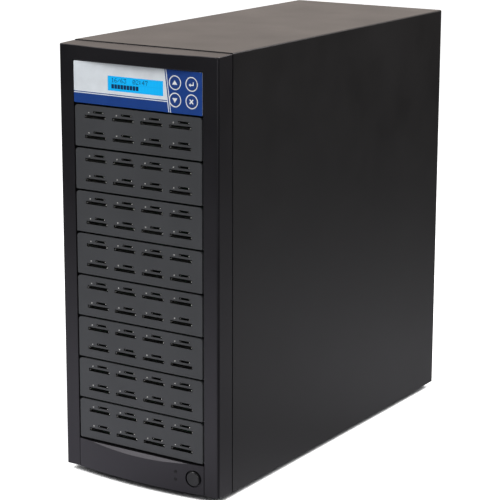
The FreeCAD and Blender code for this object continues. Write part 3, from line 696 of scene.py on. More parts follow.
def plate(outline: Outline, front: float, back: float, holes: Sequence[Outline] = ()) -> Geometry:
    """Makes an upright plate that faces the front.

    Args:
        outline: (x, z) corners in millimetres.
        front: The front face's y in millimetres.
        back: The back face's y in millimetres.
        holes: Outlines that are cut out of it.

    Returns:
        The closed geometry, in metres.
    """
    bm = bmesh.new()
    for loop in (outline, *holes):
        corners = [bm.verts.new((x * MM, front * MM, z * MM)) for x, z in loop]
        for first, second in zip(corners, corners[1:] + corners[:1]):
            bm.edges.new((first, second))
    bmesh.ops.triangle_fill(bm, use_beauty=True, use_dissolve=False, edges=bm.edges[:])
    swept = bmesh.ops.extrude_face_region(bm, geom=bm.faces[:])
    moved = [item for item in swept["geom"] if isinstance(item, bmesh.types.BMVert)]
    bmesh.ops.translate(bm, verts=moved, vec=(0.0, (back - front) * MM, 0.0))
    bmesh.ops.recalc_face_normals(bm, faces=bm.faces)
    return bm


def block(low: Sequence[float], high: Sequence[float]) -> Geometry:
    """Makes a block.

    Args:
        low: Its lowest corner in millimetres.
        high: Its highest corner in millimetres.

    Returns:
        The closed geometry, in metres.
    """
    bm = bmesh.new()
    bmesh.ops.create_cube(bm, size=1.0)
    for vert in bm.verts:
        vert.co = Vector([(a + (b - a) * (c + 0.5)) * MM for a, b, c in zip(low, high, vert.co)])
    return bm


def placed(bm: Geometry, x: float, y: float, z: float) -> Geometry:
    """Moves a geometry by millimetres and returns it."""
    bmesh.ops.translate(bm, verts=bm.verts, vec=(x * MM, y * MM, z * MM))
    return bm


def gather(parts: Sequence[Geometry]) -> Geometry:
    """Puts several geometries into one.

    Args:
        parts: The geometries, which are freed.

    Returns:
        The joined geometry.
    """
    whole = bmesh.new()
    for part in parts:
        scratch = bpy.data.meshes.new("scratch")
        part.to_mesh(scratch)
        part.free()
        whole.from_mesh(scratch)
        bpy.data.meshes.remove(scratch)
    return whole


def carved(body: Geometry, tool: Geometry, operation: str = "DIFFERENCE") -> Geometry:
    """Cuts a tool out of a geometry, or joins it to it.

    Args:
        body: The geometry, which is freed.
        tool: The tool, which is freed.
        operation: The Boolean operation.

    Returns:
        The result.
    """
    objects = []
    for part in (body, tool):
        mesh = bpy.data.meshes.new("scratch")
        bmesh.ops.recalc_face_normals(part, faces=part.faces)
        part.to_mesh(mesh)
        part.free()
        objects.append(bpy.data.objects.new("scratch", mesh))
        bpy.context.scene.collection.objects.link(objects[-1])
    step = objects[0].modifiers.new("cut", "BOOLEAN")
    step.operation = operation
    step.object = objects[1]
    step.solver = "EXACT"
    bpy.context.view_layer.update()
    result = bmesh.new()
    result.from_object(objects[0], bpy.context.evaluated_depsgraph_get())
    for scratch in objects:
        mesh = scratch.data
        bpy.data.objects.remove(scratch)
        bpy.data.meshes.remove(mesh)
    return result


def node_box(node: str) -> tuple[Vector, Vector]:
    """Returns a node's lowest and highest corners in millimetres."""
    low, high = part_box(node)
    return low / MM, high / MM


def middle(node: str) -> Point:
    """Returns the middle x and z of a node in millimetres."""
    low, high = node_box(node)
    return (low.x + high.x) / 2, (low.z + high.z) / 2


@dataclass
class SubAssembly:
    """Some of the tower's pieces, with the palette that dresses them.

    Edges that turn by less than the flat angle are dropped, and those over the fold angle are rounded.
    """

    palette: Palette
    weld: float = 0.001
    flat_angle: float = 0.5
    fold_angle: float = 35.0
    flat_weight: int = 100

    def add(
        self, name: str, parts: Sequence[Geometry], slot: str, finish: str = "", body: str = "chassis",
        stands_for: str = "", sharp: float = 30.0,
    ) -> bpy.types.Object:
        """Adds one piece of the object.

        Args:
            name: The piece's name.
            parts: Its geometry in the part's frame, which is freed.
            slot: The record's material slot that it takes its finish from.
            finish: The finish, where it isn't called as the slot is.
            body: The body that it moves with.
            stands_for: The node that it is shown in place of, if any.
            sharp: Degrees above which an edge stays sharp.

        Returns:
            The new object.
        """
        mesh = close_mesh(gather(parts), name, sharp)
        mesh.materials.append(self.palette[finish or slot])
        piece = bpy.data.objects.new(name, mesh)
        bpy.context.scene.collection.objects.link(piece)
        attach(piece, body)
        if stands_for:
            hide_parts(stands_for)
        log.info("%s on %s: %d faces", name, body, len(mesh.polygons))
        return piece

    def add_rounded(
        self, node: str, name: str, radius: float, slot: str, finish: str = "", body: str = "chassis",
        segments: int = 2,
    ) -> bpy.types.Object:
        """Shows a node with the small edge radius that its real piece has.

        Args:
            node: The node to stand for.
            name: The piece's name.
            radius: The edge radius in millimetres.
            slot: The record's material slot.
            finish: The finish, where it isn't called as the slot is.
            body: The body that it moves with.
            segments: Faces across each rounded edge.

        Returns:
            The new object.
        """
        bm = bmesh.new()
        bm.from_mesh(frame["nodes"][node].data)
        bmesh.ops.remove_doubles(bm, verts=bm.verts, dist=self.weld * MM)
        flat = math.radians(self.flat_angle)
        bmesh.ops.dissolve_limit(bm, angle_limit=flat, verts=bm.verts, edges=bm.edges)
        piece = self.add(name, [bm], slot, finish, body, node)
        bevel = piece.modifiers.new("edge_radius", "BEVEL")
        bevel.width = radius * MM
        bevel.segments = segments
        bevel.limit_method = "ANGLE"
        bevel.angle_limit = math.radians(self.fold_angle)
        bevel.harden_normals = True
        normals = piece.modifiers.new("flat_faces", "WEIGHTED_NORMAL")
        normals.weight = self.flat_weight
        normals.keep_sharp = True
        return piece


@dataclass
class PlainNodes(SubAssembly):
    """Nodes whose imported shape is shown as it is, each with its slot's finish."""

    by_slot: dict[str, str] = field(default_factory=lambda: {"indicator_lens": "milky_lens"})

    def build(self) -> None:
        """Gives every node the finish of its material slot."""
        for part in frame["record"]["subparts"]:
            node, slot = part["node"], part["material_slot"]
            mesh = frame["nodes"][node].data
            mesh.materials.clear()
            mesh.materials.append(self.palette[self.by_slot.get(slot, slot)])
            log.info("node %s: %s", node, slot)


@dataclass
class Shell(SubAssembly):
    """Hood, bezel and chin: what the tower shows of its case."""

    hood_edge: float = 0.25
    bezel_edge: float = 0.45
    chin_edge: float = 0.5

    def build(self) -> None:
        """Shows the folded hood and the two mouldings with their edge radii."""
        self.add_rounded("hood_cover", "hood_shell", self.hood_edge, "case_paint")
        self.add_rounded("front_bezel", "bezel_moulding", self.bezel_edge, "bezel_plastic")
        self.add_rounded("chin_cover", "chin_moulding", self.chin_edge, "bezel_plastic")


@dataclass
class CardModules(SubAssembly):
    """Eight slotted face plates with their light pipes, and the mouths and side springs of their sockets."""

    modules: int = 8
    edge: float = 0.18
    pipe_edge: float = 0.35
    floor_gap: float = 1.05
    columns: tuple[float, ...] = (-49.125, -16.375, 16.375, 49.125)
    rises: tuple[float, ...] = (10.6, 30.2)
    narrow_shift: Point = (3.9, 4.75)
    wide_slot: Point = (25.0, 3.2)
    narrow_slot: Point = (12.2, 2.2)
    mouth_gap: float = 0.01
    mouth_wall: float = 0.4
    mouth_setback: float = 0.22
    mouth_depth: float = 2.75
    leaf_gap: float = 0.04
    leaf_root: float = 3.0
    leaf_length: float = 2.4
    leaf_thickness: float = 0.14
    leaf_height: float = 0.55
    leaf_bevel: float = 0.05
    leaf_steps: int = 6
    curl: Point = (0.15, 0.5)
    curl_power: float = 2.2
    dimple: float = 0.6
    dimple_front: float = 0.95
    dimple_shares: Point = (0.4, 1.0)
    dimple_rises: Point = (-0.3, 0.1)
    dimple_faces: tuple[int, int] = (10, 6)
    sharp: float = 50.0
    seed: int = 7

    def build(self) -> None:
        """Shows the plates and light pipes, then what lies behind the slots."""
        for number in range(1, self.modules + 1):
            self.add_rounded(f"card_panel_{number}", f"card_face_{number}", self.edge, "panel_plastic")
        lens = {"finish": "milky_lens", "segments": 3}
        self.add_rounded("slot_leds", "slot_light_pipes", self.pipe_edge, "indicator_lens", **lens)
        self.build_mouths()
        self.build_springs()

    def slots(self) -> list[tuple[float, float, float, Point]]:
        """Returns every slot as its middle x, its plate's front, its middle z and its size."""
        found = []
        for number in range(1, self.modules + 1):
            low, _ = node_box(f"card_panel_{number}")
            for rise in self.rises:
                for x in self.columns:
                    z = low.z - self.floor_gap + rise
                    across, up = self.narrow_shift
                    found.append((x, low.y, z, self.wide_slot))
                    found.append((x + across, low.y, z + up, self.narrow_slot))
        return found

    def build_mouths(self) -> None:
        """Adds the sockets' mouths just behind the plates' faces, near-black as painted shade in the slots."""
        mouths = []
        for x, front, z, (width, height) in self.slots():
            loops = []
            for inset in (self.mouth_gap, self.mouth_wall):
                a, b = width / 2 - inset, height / 2 - inset
                loops.append([(x - a, z - b), (x + a, z - b), (x + a, z + b), (x - a, z + b)])
            mouths.append(plate(loops[0], front + self.mouth_setback, front + self.mouth_depth, [loops[1]]))
        self.add("socket_mouths_and_shade", mouths, "fitting_plastic", "mouth_plastic_and_shade")

    def build_springs(self) -> None:
        """Adds the leaves at both ends of every slot, each bent a little differently."""
        rng = random.Random(self.seed)
        leaves = []
        for x, front, z, (width, height) in self.slots():
            for side in (-1, 1):
                end = side * (width / 2 - self.mouth_wall - self.leaf_gap)
                curl = rng.uniform(*self.curl)
                leaf = self.leaf(end, side, height * self.leaf_height, curl)
                size = self.dimple * (rng.uniform(*self.dimple_shares) if side > 0 else self.dimple_shares[0])
                tip = bmesh.new()
                around, up = self.dimple_faces
                bmesh.ops.create_uvsphere(tip, u_segments=around, v_segments=up, radius=size * MM)
                reach = end - side * (curl + self.leaf_thickness)
                placed(tip, reach, self.dimple_front - size, rng.uniform(*self.dimple_rises))
                leaves.append(placed(gather([leaf, tip]), x, front, z))
        self.add("socket_side_springs", leaves, "socket_steel", "spring_steel", sharp=self.sharp)

    def leaf(self, end: float, side: int, height: float, curl: float) -> Geometry:
        """Makes one leaf spring that runs forward from its socket and curls away from the slot's end.

        Args:
            end: The slot's end, from the slot's middle.
            side: 1 at the right end and -1 at the left.
            height: The leaf's height.
            curl: How far its tip bends inwards.

        Returns:
            The closed leaf, about the slot's middle.
        """
        outer = []
        for step in range(self.leaf_steps + 1):
            share = step / self.leaf_steps
            bend = side * curl * share ** self.curl_power
            outer.append((end - bend, self.leaf_root - self.leaf_length * share))
        inner = [(x - side * self.leaf_thickness, y - self.leaf_bevel) for x, y in reversed(outer)]
        bm = bmesh.new()
        loops = []
        for level in (-height / 2, height / 2):
            loops.append([bm.verts.new((x * MM, y * MM, level * MM)) for x, y in outer + inner])
        count = len(loops[0])
        for i in range(count):
            j = (i + 1) % count
            bm.faces.new((loops[0][i], loops[0][j], loops[1][j], loops[1][i]))
        for step in range(self.leaf_steps):
            back = count - 1 - step
            for loop in loops:
                bm.faces.new((loop[step], loop[step + 1], loop[back - 1], loop[back]))
        return bm


KEY_MARKS = {"key_up": Icon.UP, "key_down": Icon.DOWN, "key_enter": Icon.ACCEPT, "key_escape": Icon.CANCEL}

# The display's marks, seven rows of five dots each.
GLYPHS = {
    "0": "01110 10001 10011 10101 11001 10001 01110",
    "1": "00100 01100 00100 00100 00100 00100 01110",
    "2": "01110 10001 00001 00010 00100 01000 11111",
    "3": "11111 00010 00100 00010 00001 10001 01110",
    "4": "00010 00110 01010 10010 11111 00010 00010",
    "6": "00110 01000 10000 11110 10001 10001 01110",
    "7": "11111 10001 00010 00100 00100 00100 00100",
    "/": "00000 00001 00010 00100 01000 10000 00000",
    ":": "00000 01100 01100 00000 01100 01100 00000",
    " ": "",
}


@dataclass
class ControlFace(SubAssembly):
    """Printed film, display and four keys of the control module."""

    ink: float = 0.03
    ink_root: float = 0.2
    corner: float = 1.0
    corner_steps: int = 8
    field_top: float = 31.8
    field_bottom: float = 37.0
    stripe: float = 1.2
    stripe_gap: float = 0.9
    band_height: float = 9.5
    line_height: float = 0.8
    key_clear: float = 5.85
    ring_width: float = 1.0
    key_edge: float = 0.3
    triangle: Outline = ((-2.9, -1.8), (2.9, -1.8), (0.0, 2.6))
    bent_arrow: Outline = (
        (-3.0, -0.7), (-0.9, -2.4), (-0.9, -1.2), (2.6, -1.2), (2.6, 2.2), (1.6, 2.2), (1.6, -0.2),
        (-0.9, -0.2), (-0.9, 1.0),
    )
    cross_arm: float = 2.8
    cross_half: float = 0.65
    cell_inset: Point = (0.3, 0.75)
    line_cells: int = 16
    dot: float = 0.58
    dot_pitch: float = 0.6
    dot_layer: Point = (-0.02, 0.005)
    count_text: str = "16/63  02:47"
    bar_cells: int = 9
    bar_size: Point = (4.9, 6.9)

    def __post_init__(self) -> None:
        """Takes the film's corners and the keys' places from the frame."""
        self.low, self.high = node_box("control_overlay")
        self.places = {key: middle(key) for key in KEY_MARKS}

    def build(self) -> None:
        """Prints the film, then adds the keys and what the display shows."""
        self.print_film()
        self.build_keys()
        self.build_display()

    def layer(self, depth: float = 1.0) -> Point:
        """Returns the front and back of an ink layer that stands depth inks proud of the film."""
        return self.low.y - self.ink * depth, self.low.y + self.ink * self.ink_root

    def field_edge(self, z: float, inset: float = 0.0) -> float:
        """Returns the x of the blue field's slanting edge at height z, moved right by inset."""
        share = (z - self.low.z) / (self.high.z - self.low.z)
        return self.field_bottom + (self.field_top - self.field_bottom) * share + inset

    def film_corner(self, x: float, z: float, start: float) -> list[Point]:
        """Returns a quarter turn of the film's corner about (x, z), from start degrees."""
        steps = [math.radians(start + 90 * i / self.corner_steps) for i in range(self.corner_steps + 1)]
        return [(x + self.corner * math.cos(step), z + self.corner * math.sin(step)) for step in steps]

    def print_film(self) -> None:
        """Adds the ink: a slanting blue field behind the keys, a blue band low down, and white rings."""
        low, high = self.low, self.high
        bottom, top = low.z + self.corner, high.z - self.corner
        left, right = low.x + self.corner, high.x - self.corner
        inset, gap = self.stripe + self.stripe_gap, -self.stripe_gap
        key_field = [(self.field_edge(z, inset), z) for z in (high.z, low.z)]
        key_field += self.film_corner(right, bottom, -90.0) + self.film_corner(right, top, 0.0)
        stripe = [(self.field_edge(z), z) for z in (high.z, low.z)]
        stripe += [(self.field_edge(z, self.stripe), z) for z in (low.z, high.z)]
        band_top = low.z + self.band_height
        band = [(self.field_edge(z, gap), z) for z in (low.z, band_top)]
        band += [(low.x, band_top)] + self.film_corner(left, bottom, 180.0)
        line_low = band_top + self.stripe_gap
        line_high = line_low + self.line_height
        line = [(low.x, line_low)] + [(self.field_edge(z, gap), z) for z in (line_low, line_high)]
        line.append((low.x, line_high))
        holes = [circle(x, z, self.key_clear) for x, z in self.places.values()]
        fields = [plate(key_field, *self.layer(), holes)]
        fields += [plate(shape, *self.layer()) for shape in (stripe, band, line)]
        self.add("overlay_blue_print", fields, "overlay_film", "blue_ink")
        rings = []
        for (x, z), hole in zip(self.places.values(), holes):
            rings.append(plate(circle(x, z, self.key_clear + self.ring_width), *self.layer(2.0), [hole]))
        self.add("key_ring_print", rings, "overlay_film", "white_ink")

    def mark(self, icon: Icon) -> list[Point]:
        """Outlines one key's mark.

        Args:
            icon: The mark.

        Returns:
            Its corners about the key's middle.
        """
        if icon in (Icon.UP, Icon.DOWN):
            sign = 1 if icon is Icon.UP else -1
            return [(x, sign * z) for x, z in self.triangle]
        if icon is Icon.ACCEPT:
            return list(self.bent_arrow)
        arm, half = self.cross_arm, self.cross_half
        points = []
        for quarter in range(4):
            turn = math.radians(45 + 90 * quarter)
            cosine, sine = math.cos(turn), math.sin(turn)
            for reach, side in ((half, -half), (arm, -half), (arm, half)):
                points.append((cosine * reach - sine * side, sine * reach + cosine * side))
        return points

    def build_keys(self) -> None:
        """Shows the four keys with soft rims, and prints their marks."""
        for key, icon in KEY_MARKS.items():
            self.add_rounded(key, key + "_cap", self.key_edge, "key_plastic", body=key, segments=3)
            x, z = self.places[key]
            front = node_box(key)[0].y
            outline = [(x + a, z + b) for a, b in self.mark(icon)]
            mark = plate(outline, front - self.ink, front + self.ink * self.ink_root)
            self.add(key + "_mark", [mark], "key_plastic", "white_ink", key)

    def build_display(self) -> None:
        """Adds the dark dots that the display shows: a plain count and a row of filled cells."""
        x, z = middle("lcd_glass")
        left = x - DISPLAY_CELL[0] * self.line_cells / 2 + self.cell_inset[0]
        top = z + DISPLAY_CELL[1] - self.cell_inset[1]
        front, back = [node_box("lcd_glass")[0].y + shift for shift in self.dot_layer]
        dots = []
        for place, mark in enumerate(self.count_text):
            for row, line in enumerate(GLYPHS[mark].split()):
                for column, on in enumerate(line):
                    if on == "1":
                        x = left + DISPLAY_CELL[0] * place + column * self.dot_pitch
                        z = top - row * self.dot_pitch
                        dots.append(block((x, front, z - self.dot), (x + self.dot, back, z)))
        width, height = [self.dot_pitch * size for size in self.bar_size]
        for place in range(self.bar_cells):
            x, z = left + DISPLAY_CELL[0] * place, top - DISPLAY_CELL[1]
            dots.append(block((x, front, z - height), (x + width, back, z)))
        self.add("display_dots", dots, "display_glass", "display_ink")


@dataclass
class ChinControls(SubAssembly):
    """Power button and the two status lenses beside it.

    The button's rim is given as radius and depth below its crown.
    """

    dish: float = 0.55
    dish_radius: float = 6.0
    dish_steps: tuple[float, ...] = (0.0, 1.5, 3.0, 4.2, 5.2)
    rim: Outline = ((5.8, 0.05), (6.2, 0.0), (6.6, 0.12), (6.95, 0.4), (7.25, 0.8))
    flange_front: float = 6.9
    flange_back: float = 5.7
    stem: float = 3.0
    button_faces: int = 64
    lens_dome: float = 0.15
    lens_steps: int = 6
    lens_faces: int = 32
    sharp: float = 40.0

    def build(self) -> None:
        """Adds the button and the two lenses."""
        self.build_button()
        self.build_lenses()

    def build_button(self) -> None:
        """Turns the button with its dished cap, flange and stem."""
        low, high = node_box("power_button")
        x, z = middle("power_button")
        crown, flange = low.y, (high.x - low.x) / 2
        front, back = high.y - self.flange_front, high.y - self.flange_back
        profile = [(r, crown + self.dish * (1 - (r / self.dish_radius) ** 2)) for r in self.dish_steps]
        profile += [(radius, crown + depth) for radius, depth in self.rim]
        profile += [(self.rim[-1][0], front), (flange, front), (flange, back)]
        profile += [(self.stem, back), (self.stem, high.y), (0.0, high.y)]
        cap = placed(turned(profile, self.button_faces), x, 0.0, z)
        node = "power_button"
        self.add("power_button_cap", [cap], "button_plastic", body=node, stands_for=node, sharp=self.sharp)

    def build_lenses(self) -> None:
        """Adds the two domed lenses in place of their plain rods."""
        low, high = node_box("status_leds")
        radius = (high.x - low.x) / 2
        profile = [(0.0, low.y - self.lens_dome)]
        for step in range(1, self.lens_steps + 1):
            turn = math.radians(90 / self.lens_steps * step)
            profile.append((radius * math.sin(turn), low.y - self.lens_dome * math.cos(turn)))
        profile += [(radius, high.y), (0.0, high.y)]
        x = middle("status_leds")[0]
        lenses = []
        for z in (low.z + radius, high.z - radius):
            lenses.append(placed(turned(profile, self.lens_faces), x, 0.0, z))
        dress = {"finish": "smoked_lens", "stands_for": "status_leds", "sharp": self.sharp}
        self.add("status_lenses", lenses, "indicator_lens", **dress)


@dataclass
class RearFittings(SubAssembly):
    """Sheet, fan housing, mains inlet and mains switch at the back."""

    sheet_edge: float = 0.12
    fitting_edge: float = 0.4
    inlet_edge: float = 0.3
    pin_field: Point = (8.4, 4.4)
    pin_root: float = 2.0
    pin_end: float = 1.0
    rocker_ridge: float = 1.3
    rocker_end: Point = (8.0, 2.4)
    rocker_rest: float = -9.0
    mark_ink: float = 0.05
    mark_half: float = 2.2
    mark_hole: float = 1.5
    mark_bar: float = 0.36
    mark_steps: int = 28

    def build(self) -> None:
        """Builds the rear sheet and what is let into it."""
        self.add_rounded("rear_panel", "rear_sheet", self.sheet_edge, "chassis_steel")
        self.add_rounded("rocker_frame", "rocker_bezel", self.fitting_edge, "fitting_plastic")
        self.add_rounded("rear_fan_frame", "fan_housing", self.fitting_edge, "fitting_plastic")
        self.build_inlet()
        self.build_rocker()

    def build_inlet(self) -> None:
        """Shows the inlet with metal pins in its plastic body."""
        piece = self.add_rounded("mains_inlet", "mains_inlet_body", self.inlet_edge, "fitting_plastic")
        piece.data.materials.append(self.palette["pin_metal"])
        low, high = node_box("mains_inlet")
        x, z = middle("mains_inlet")
        for face in piece.data.polygons:
            at = face.center / MM
            inside = abs(at.x - x) < self.pin_field[0] and abs(at.z - z) < self.pin_field[1]
            if inside and low.y + self.pin_root < at.y < high.y - self.pin_end:
                face.material_index = 1

    def build_rocker(self) -> None:
        """Shows the rocker with soft edges and prints its ring and line in the middle of its two slopes."""
        node, slot = "mains_rocker", "fitting_plastic"
        self.add_rounded(node, "mains_rocker_paddle", self.fitting_edge, slot, body=node, segments=3)
        joint = next(joint for joint in frame["joints"] if joint["name"] == "mains_rocker_tilt")
        reach, rise = self.rocker_end
        slope = math.atan2(rise - self.rocker_ridge, reach)
        axis = Matrix.Translation(Vector(joint["pos_m"]))
        rest = Matrix.Rotation(math.radians(self.rocker_rest), 4, "X")
        bar, half = self.mark_bar, self.mark_half
        ring, hole = [circle(0.0, 0.0, radius, self.mark_steps) for radius in (half, self.mark_hole)]
        line = [(-bar, -half), (bar, -half), (bar, half), (-bar, half)]
        marks = []
        for side, outline, holes in ((1, ring, [hole]), (-1, line, [])):
            mark = plate(outline, 0.0, self.mark_ink, holes)
            lift = Matrix.Translation(Vector((0.0, (self.rocker_ridge + rise) / 2, side * reach / 2)) * MM)
            tilt = Matrix.Rotation(-side * slope, 4, "X")
            bmesh.ops.transform(mark, matrix=axis @ rest @ lift @ tilt, verts=mark.verts)
            marks.append(mark)
        self.add("mains_rocker_marks", marks, slot, "white_ink", node)


@dataclass
class Fasteners(SubAssembly):
    """Screws at the back, and the feet.

    Profiles are (radius, height) pairs. A thumb screw's skirt starts at its seat, and its crown is given
    below its top. A foot's rim starts at the floor, and its shoulder is given below its top.
    """

    thumb_head: float = 7.0
    thumb_shank: float = 1.7
    thumb_radius: float = 4.5
    thumb_skirt: Outline = ((4.0, 0.0), (4.4, 0.4), (4.5, 0.8))
    thumb_crown: Outline = ((4.5, 1.4), (4.35, 0.9), (3.8, 0.35), (3.0, 0.0))
    knurls: int = 24
    knurl_faces: int = 6
    knurl_depth: float = 0.35
    knurl_inner: float = 4.1
    knurl_ends: Point = (0.6, 1.0)
    slot_width: float = 1.2
    slot_depth: float = 1.4
    slot_reach: float = 6.0
    above: float = 1.0
    hex_head: float = 1.8
    hex_root: float = 0.2
    hex_radius: float = 2.75
    hex_top: Point = (2.4, 0.3)
    hex_sides: int = 6
    shank_radius: float = 1.6
    shank_tip: Point = (1.45, 0.4)
    shank_faces: int = 36
    washer_radius: float = 3.2
    washer_top: float = 3.0
    washer: float = 0.5
    washer_side: float = 0.6
    cross: float = 0.8
    cross_reach: float = 1.7
    cross_depth: float = 1.1
    foot_rim: Outline = ((8.6, 0.0), (9.1, 0.12), (9.45, 0.5), (9.62, 1.0))
    foot_shoulder: Outline = ((10.75, 0.4), (11.0, 0.0))
    foot_hole: float = 1.85
    foot_well: Point = (4.2, 2.5)
    seam: float = 0.0001
    sharp: float = 35.0

    def build(self) -> None:
        """Builds the screws that are in sight, then the feet."""
        self.build_thumb_screws()
        self.build_hex_screws("psu_screws", "supply_screws")
        self.build_hex_screws("fan_screws", "fan_mount_screws")
        self.build_feet()

    def add_four(
        self, name: str, node: str, bm: Geometry, inset: Point, slot: str = "screw_steel", way: int = 2,
    ) -> None:
        """Adds four copies of a turned piece in the corners of the node that they stand for.

        Args:
            name: The piece's name.
            node: The node.
            bm: One copy about its own axis, which is freed.
            inset: How far its axis lies inside the node's box, across and the other way.
            slot: The record's material slot.
            way: The axis of the other way, 1 for Y and 2 for Z.
        """
        low, high = node_box(node)
        copies = []
        for x in (low.x + inset[0], high.x - inset[0]):
            for end in (low[way] + inset[1], high[way] - inset[1]):
                shift = [x, 0.0, 0.0]
                shift[way] = end
                copies.append(placed(bm.copy(), *shift))
        bm.free()
        self.add(name, copies, slot, stands_for=node, sharp=self.sharp)

    def build_thumb_screws(self) -> None:
        """Turns the four thumb screws, knurled round their rims and slotted for a driver."""
        low, high = node_box("hood_screws")
        base, top = low.y, high.y
        seat = top - self.thumb_head
        profile = [(0.0, base), (self.thumb_shank, base), (self.thumb_shank, seat)]
        profile += [(radius, seat + rise) for radius, rise in self.thumb_skirt]
        profile += [(radius, top - depth) for radius, depth in self.thumb_crown]
        head = turned(profile + [(0.0, top)], self.knurls * self.knurl_faces)
        for vert in head.verts:
            radius = math.hypot(vert.co.x, vert.co.z) / MM
            along = seat + self.knurl_ends[0] < vert.co.y / MM < top - self.knurl_ends[1]
            if along and radius > self.knurl_inner:
                turn = math.atan2(vert.co.z, vert.co.x)
                share = 1 - self.knurl_depth * (0.5 + 0.5 * math.cos(self.knurls * turn)) / radius
                vert.co.x *= share
                vert.co.z *= share
        reach, half = self.slot_reach, self.slot_width / 2
        head = carved(head, block((-reach, top - self.slot_depth, -half), (reach, top + self.above, half)))
        self.add_four("hood_thumb_screws", "hood_screws", head, (self.thumb_radius, self.thumb_radius))

    def build_hex_screws(self, node: str, name: str) -> None:
        """Makes one node's screws with washer faces, six-sided heads and cross recesses.

        Args:
            node: The node that they stand for.
            name: The piece's name.
        """
        low, high = node_box(node)
        base, top = low.y, high.y
        seat = top - self.hex_head
        root, washer = seat + self.hex_root, seat + self.washer
        tip, taper = self.shank_tip
        shank = [(0.0, base), (tip, base), (self.shank_radius, base + taper), (self.shank_radius, seat)]
        shank += [(self.washer_radius, seat), (self.washer_radius, seat + self.washer * self.washer_side)]
        shank += [(self.washer_top, washer), (0.0, washer)]
        flat, chamfer = self.hex_top
        head = [(0.0, root), (self.hex_radius, root), (self.hex_radius, top - chamfer)]
        head += [(flat, top), (0.0, top)]
        screw = carved(turned(shank, self.shank_faces), turned(head, self.hex_sides), "UNION")
        reach, half = self.cross_reach, self.cross / 2
        floor, above = top - self.cross_depth, top + self.above
        across = block((-reach, floor, -half), (reach, above, half))
        upright = block((-half, floor, -reach), (half, above, reach))
        screw = carved(screw, carved(across, upright, "UNION"))
        inset = (self.washer_radius * math.sqrt(3) / 2, self.washer_radius)
        self.add_four(name, node, screw, inset)

    def build_feet(self) -> None:
        """Turns the four rubber feet with rounded rims and their screw wells."""
        top = node_box("feet")[1].z
        radius = self.foot_shoulder[-1][0]
        well, depth = self.foot_well
        profile = [(well, 0.0), *self.foot_rim]
        profile += [(shoulder, top - drop) for shoulder, drop in self.foot_shoulder]
        profile += [(self.foot_hole, top), (self.foot_hole, top - depth), (well, top - depth), (well, 0.0)]
        foot = turned(profile)
        bmesh.ops.remove_doubles(foot, verts=foot.verts, dist=self.seam * MM)
        bmesh.ops.rotate(foot, verts=foot.verts, matrix=Matrix.Rotation(math.radians(90), 3, "X"))
        self.add_four("rubber_feet", "feet", foot, (radius, radius), "foot_rubber", 1)


@dataclass(frozen=True)
class FloorPool:
    """A pool of light that the floor shows to the tower's faces."""

    centre: Place
    near: float
    fall: float
    level: float

    def light(self, wiring: Wiring, place: Socket) -> Socket:
        """Works out the pool's brightness.

        Args:
            wiring: The floor's wiring.
            place: The place on the floor.

        Returns:
            The brightness there, which falls off beyond the near distance.
        """
        away = wiring.vector("DISTANCE", place, self.centre)["Value"]
        beyond = wiring.math("MAXIMUM", wiring.math("SUBTRACT", away, self.near), 0.0)
        return wiring.math("MULTIPLY", wiring.math("POWER", self.fall, beyond), self.level)


@dataclass(frozen=True)
class Lamp:
    """A soft square lamp."""

    name: str
    place: Place
    target: Place
    size: float
    power: float


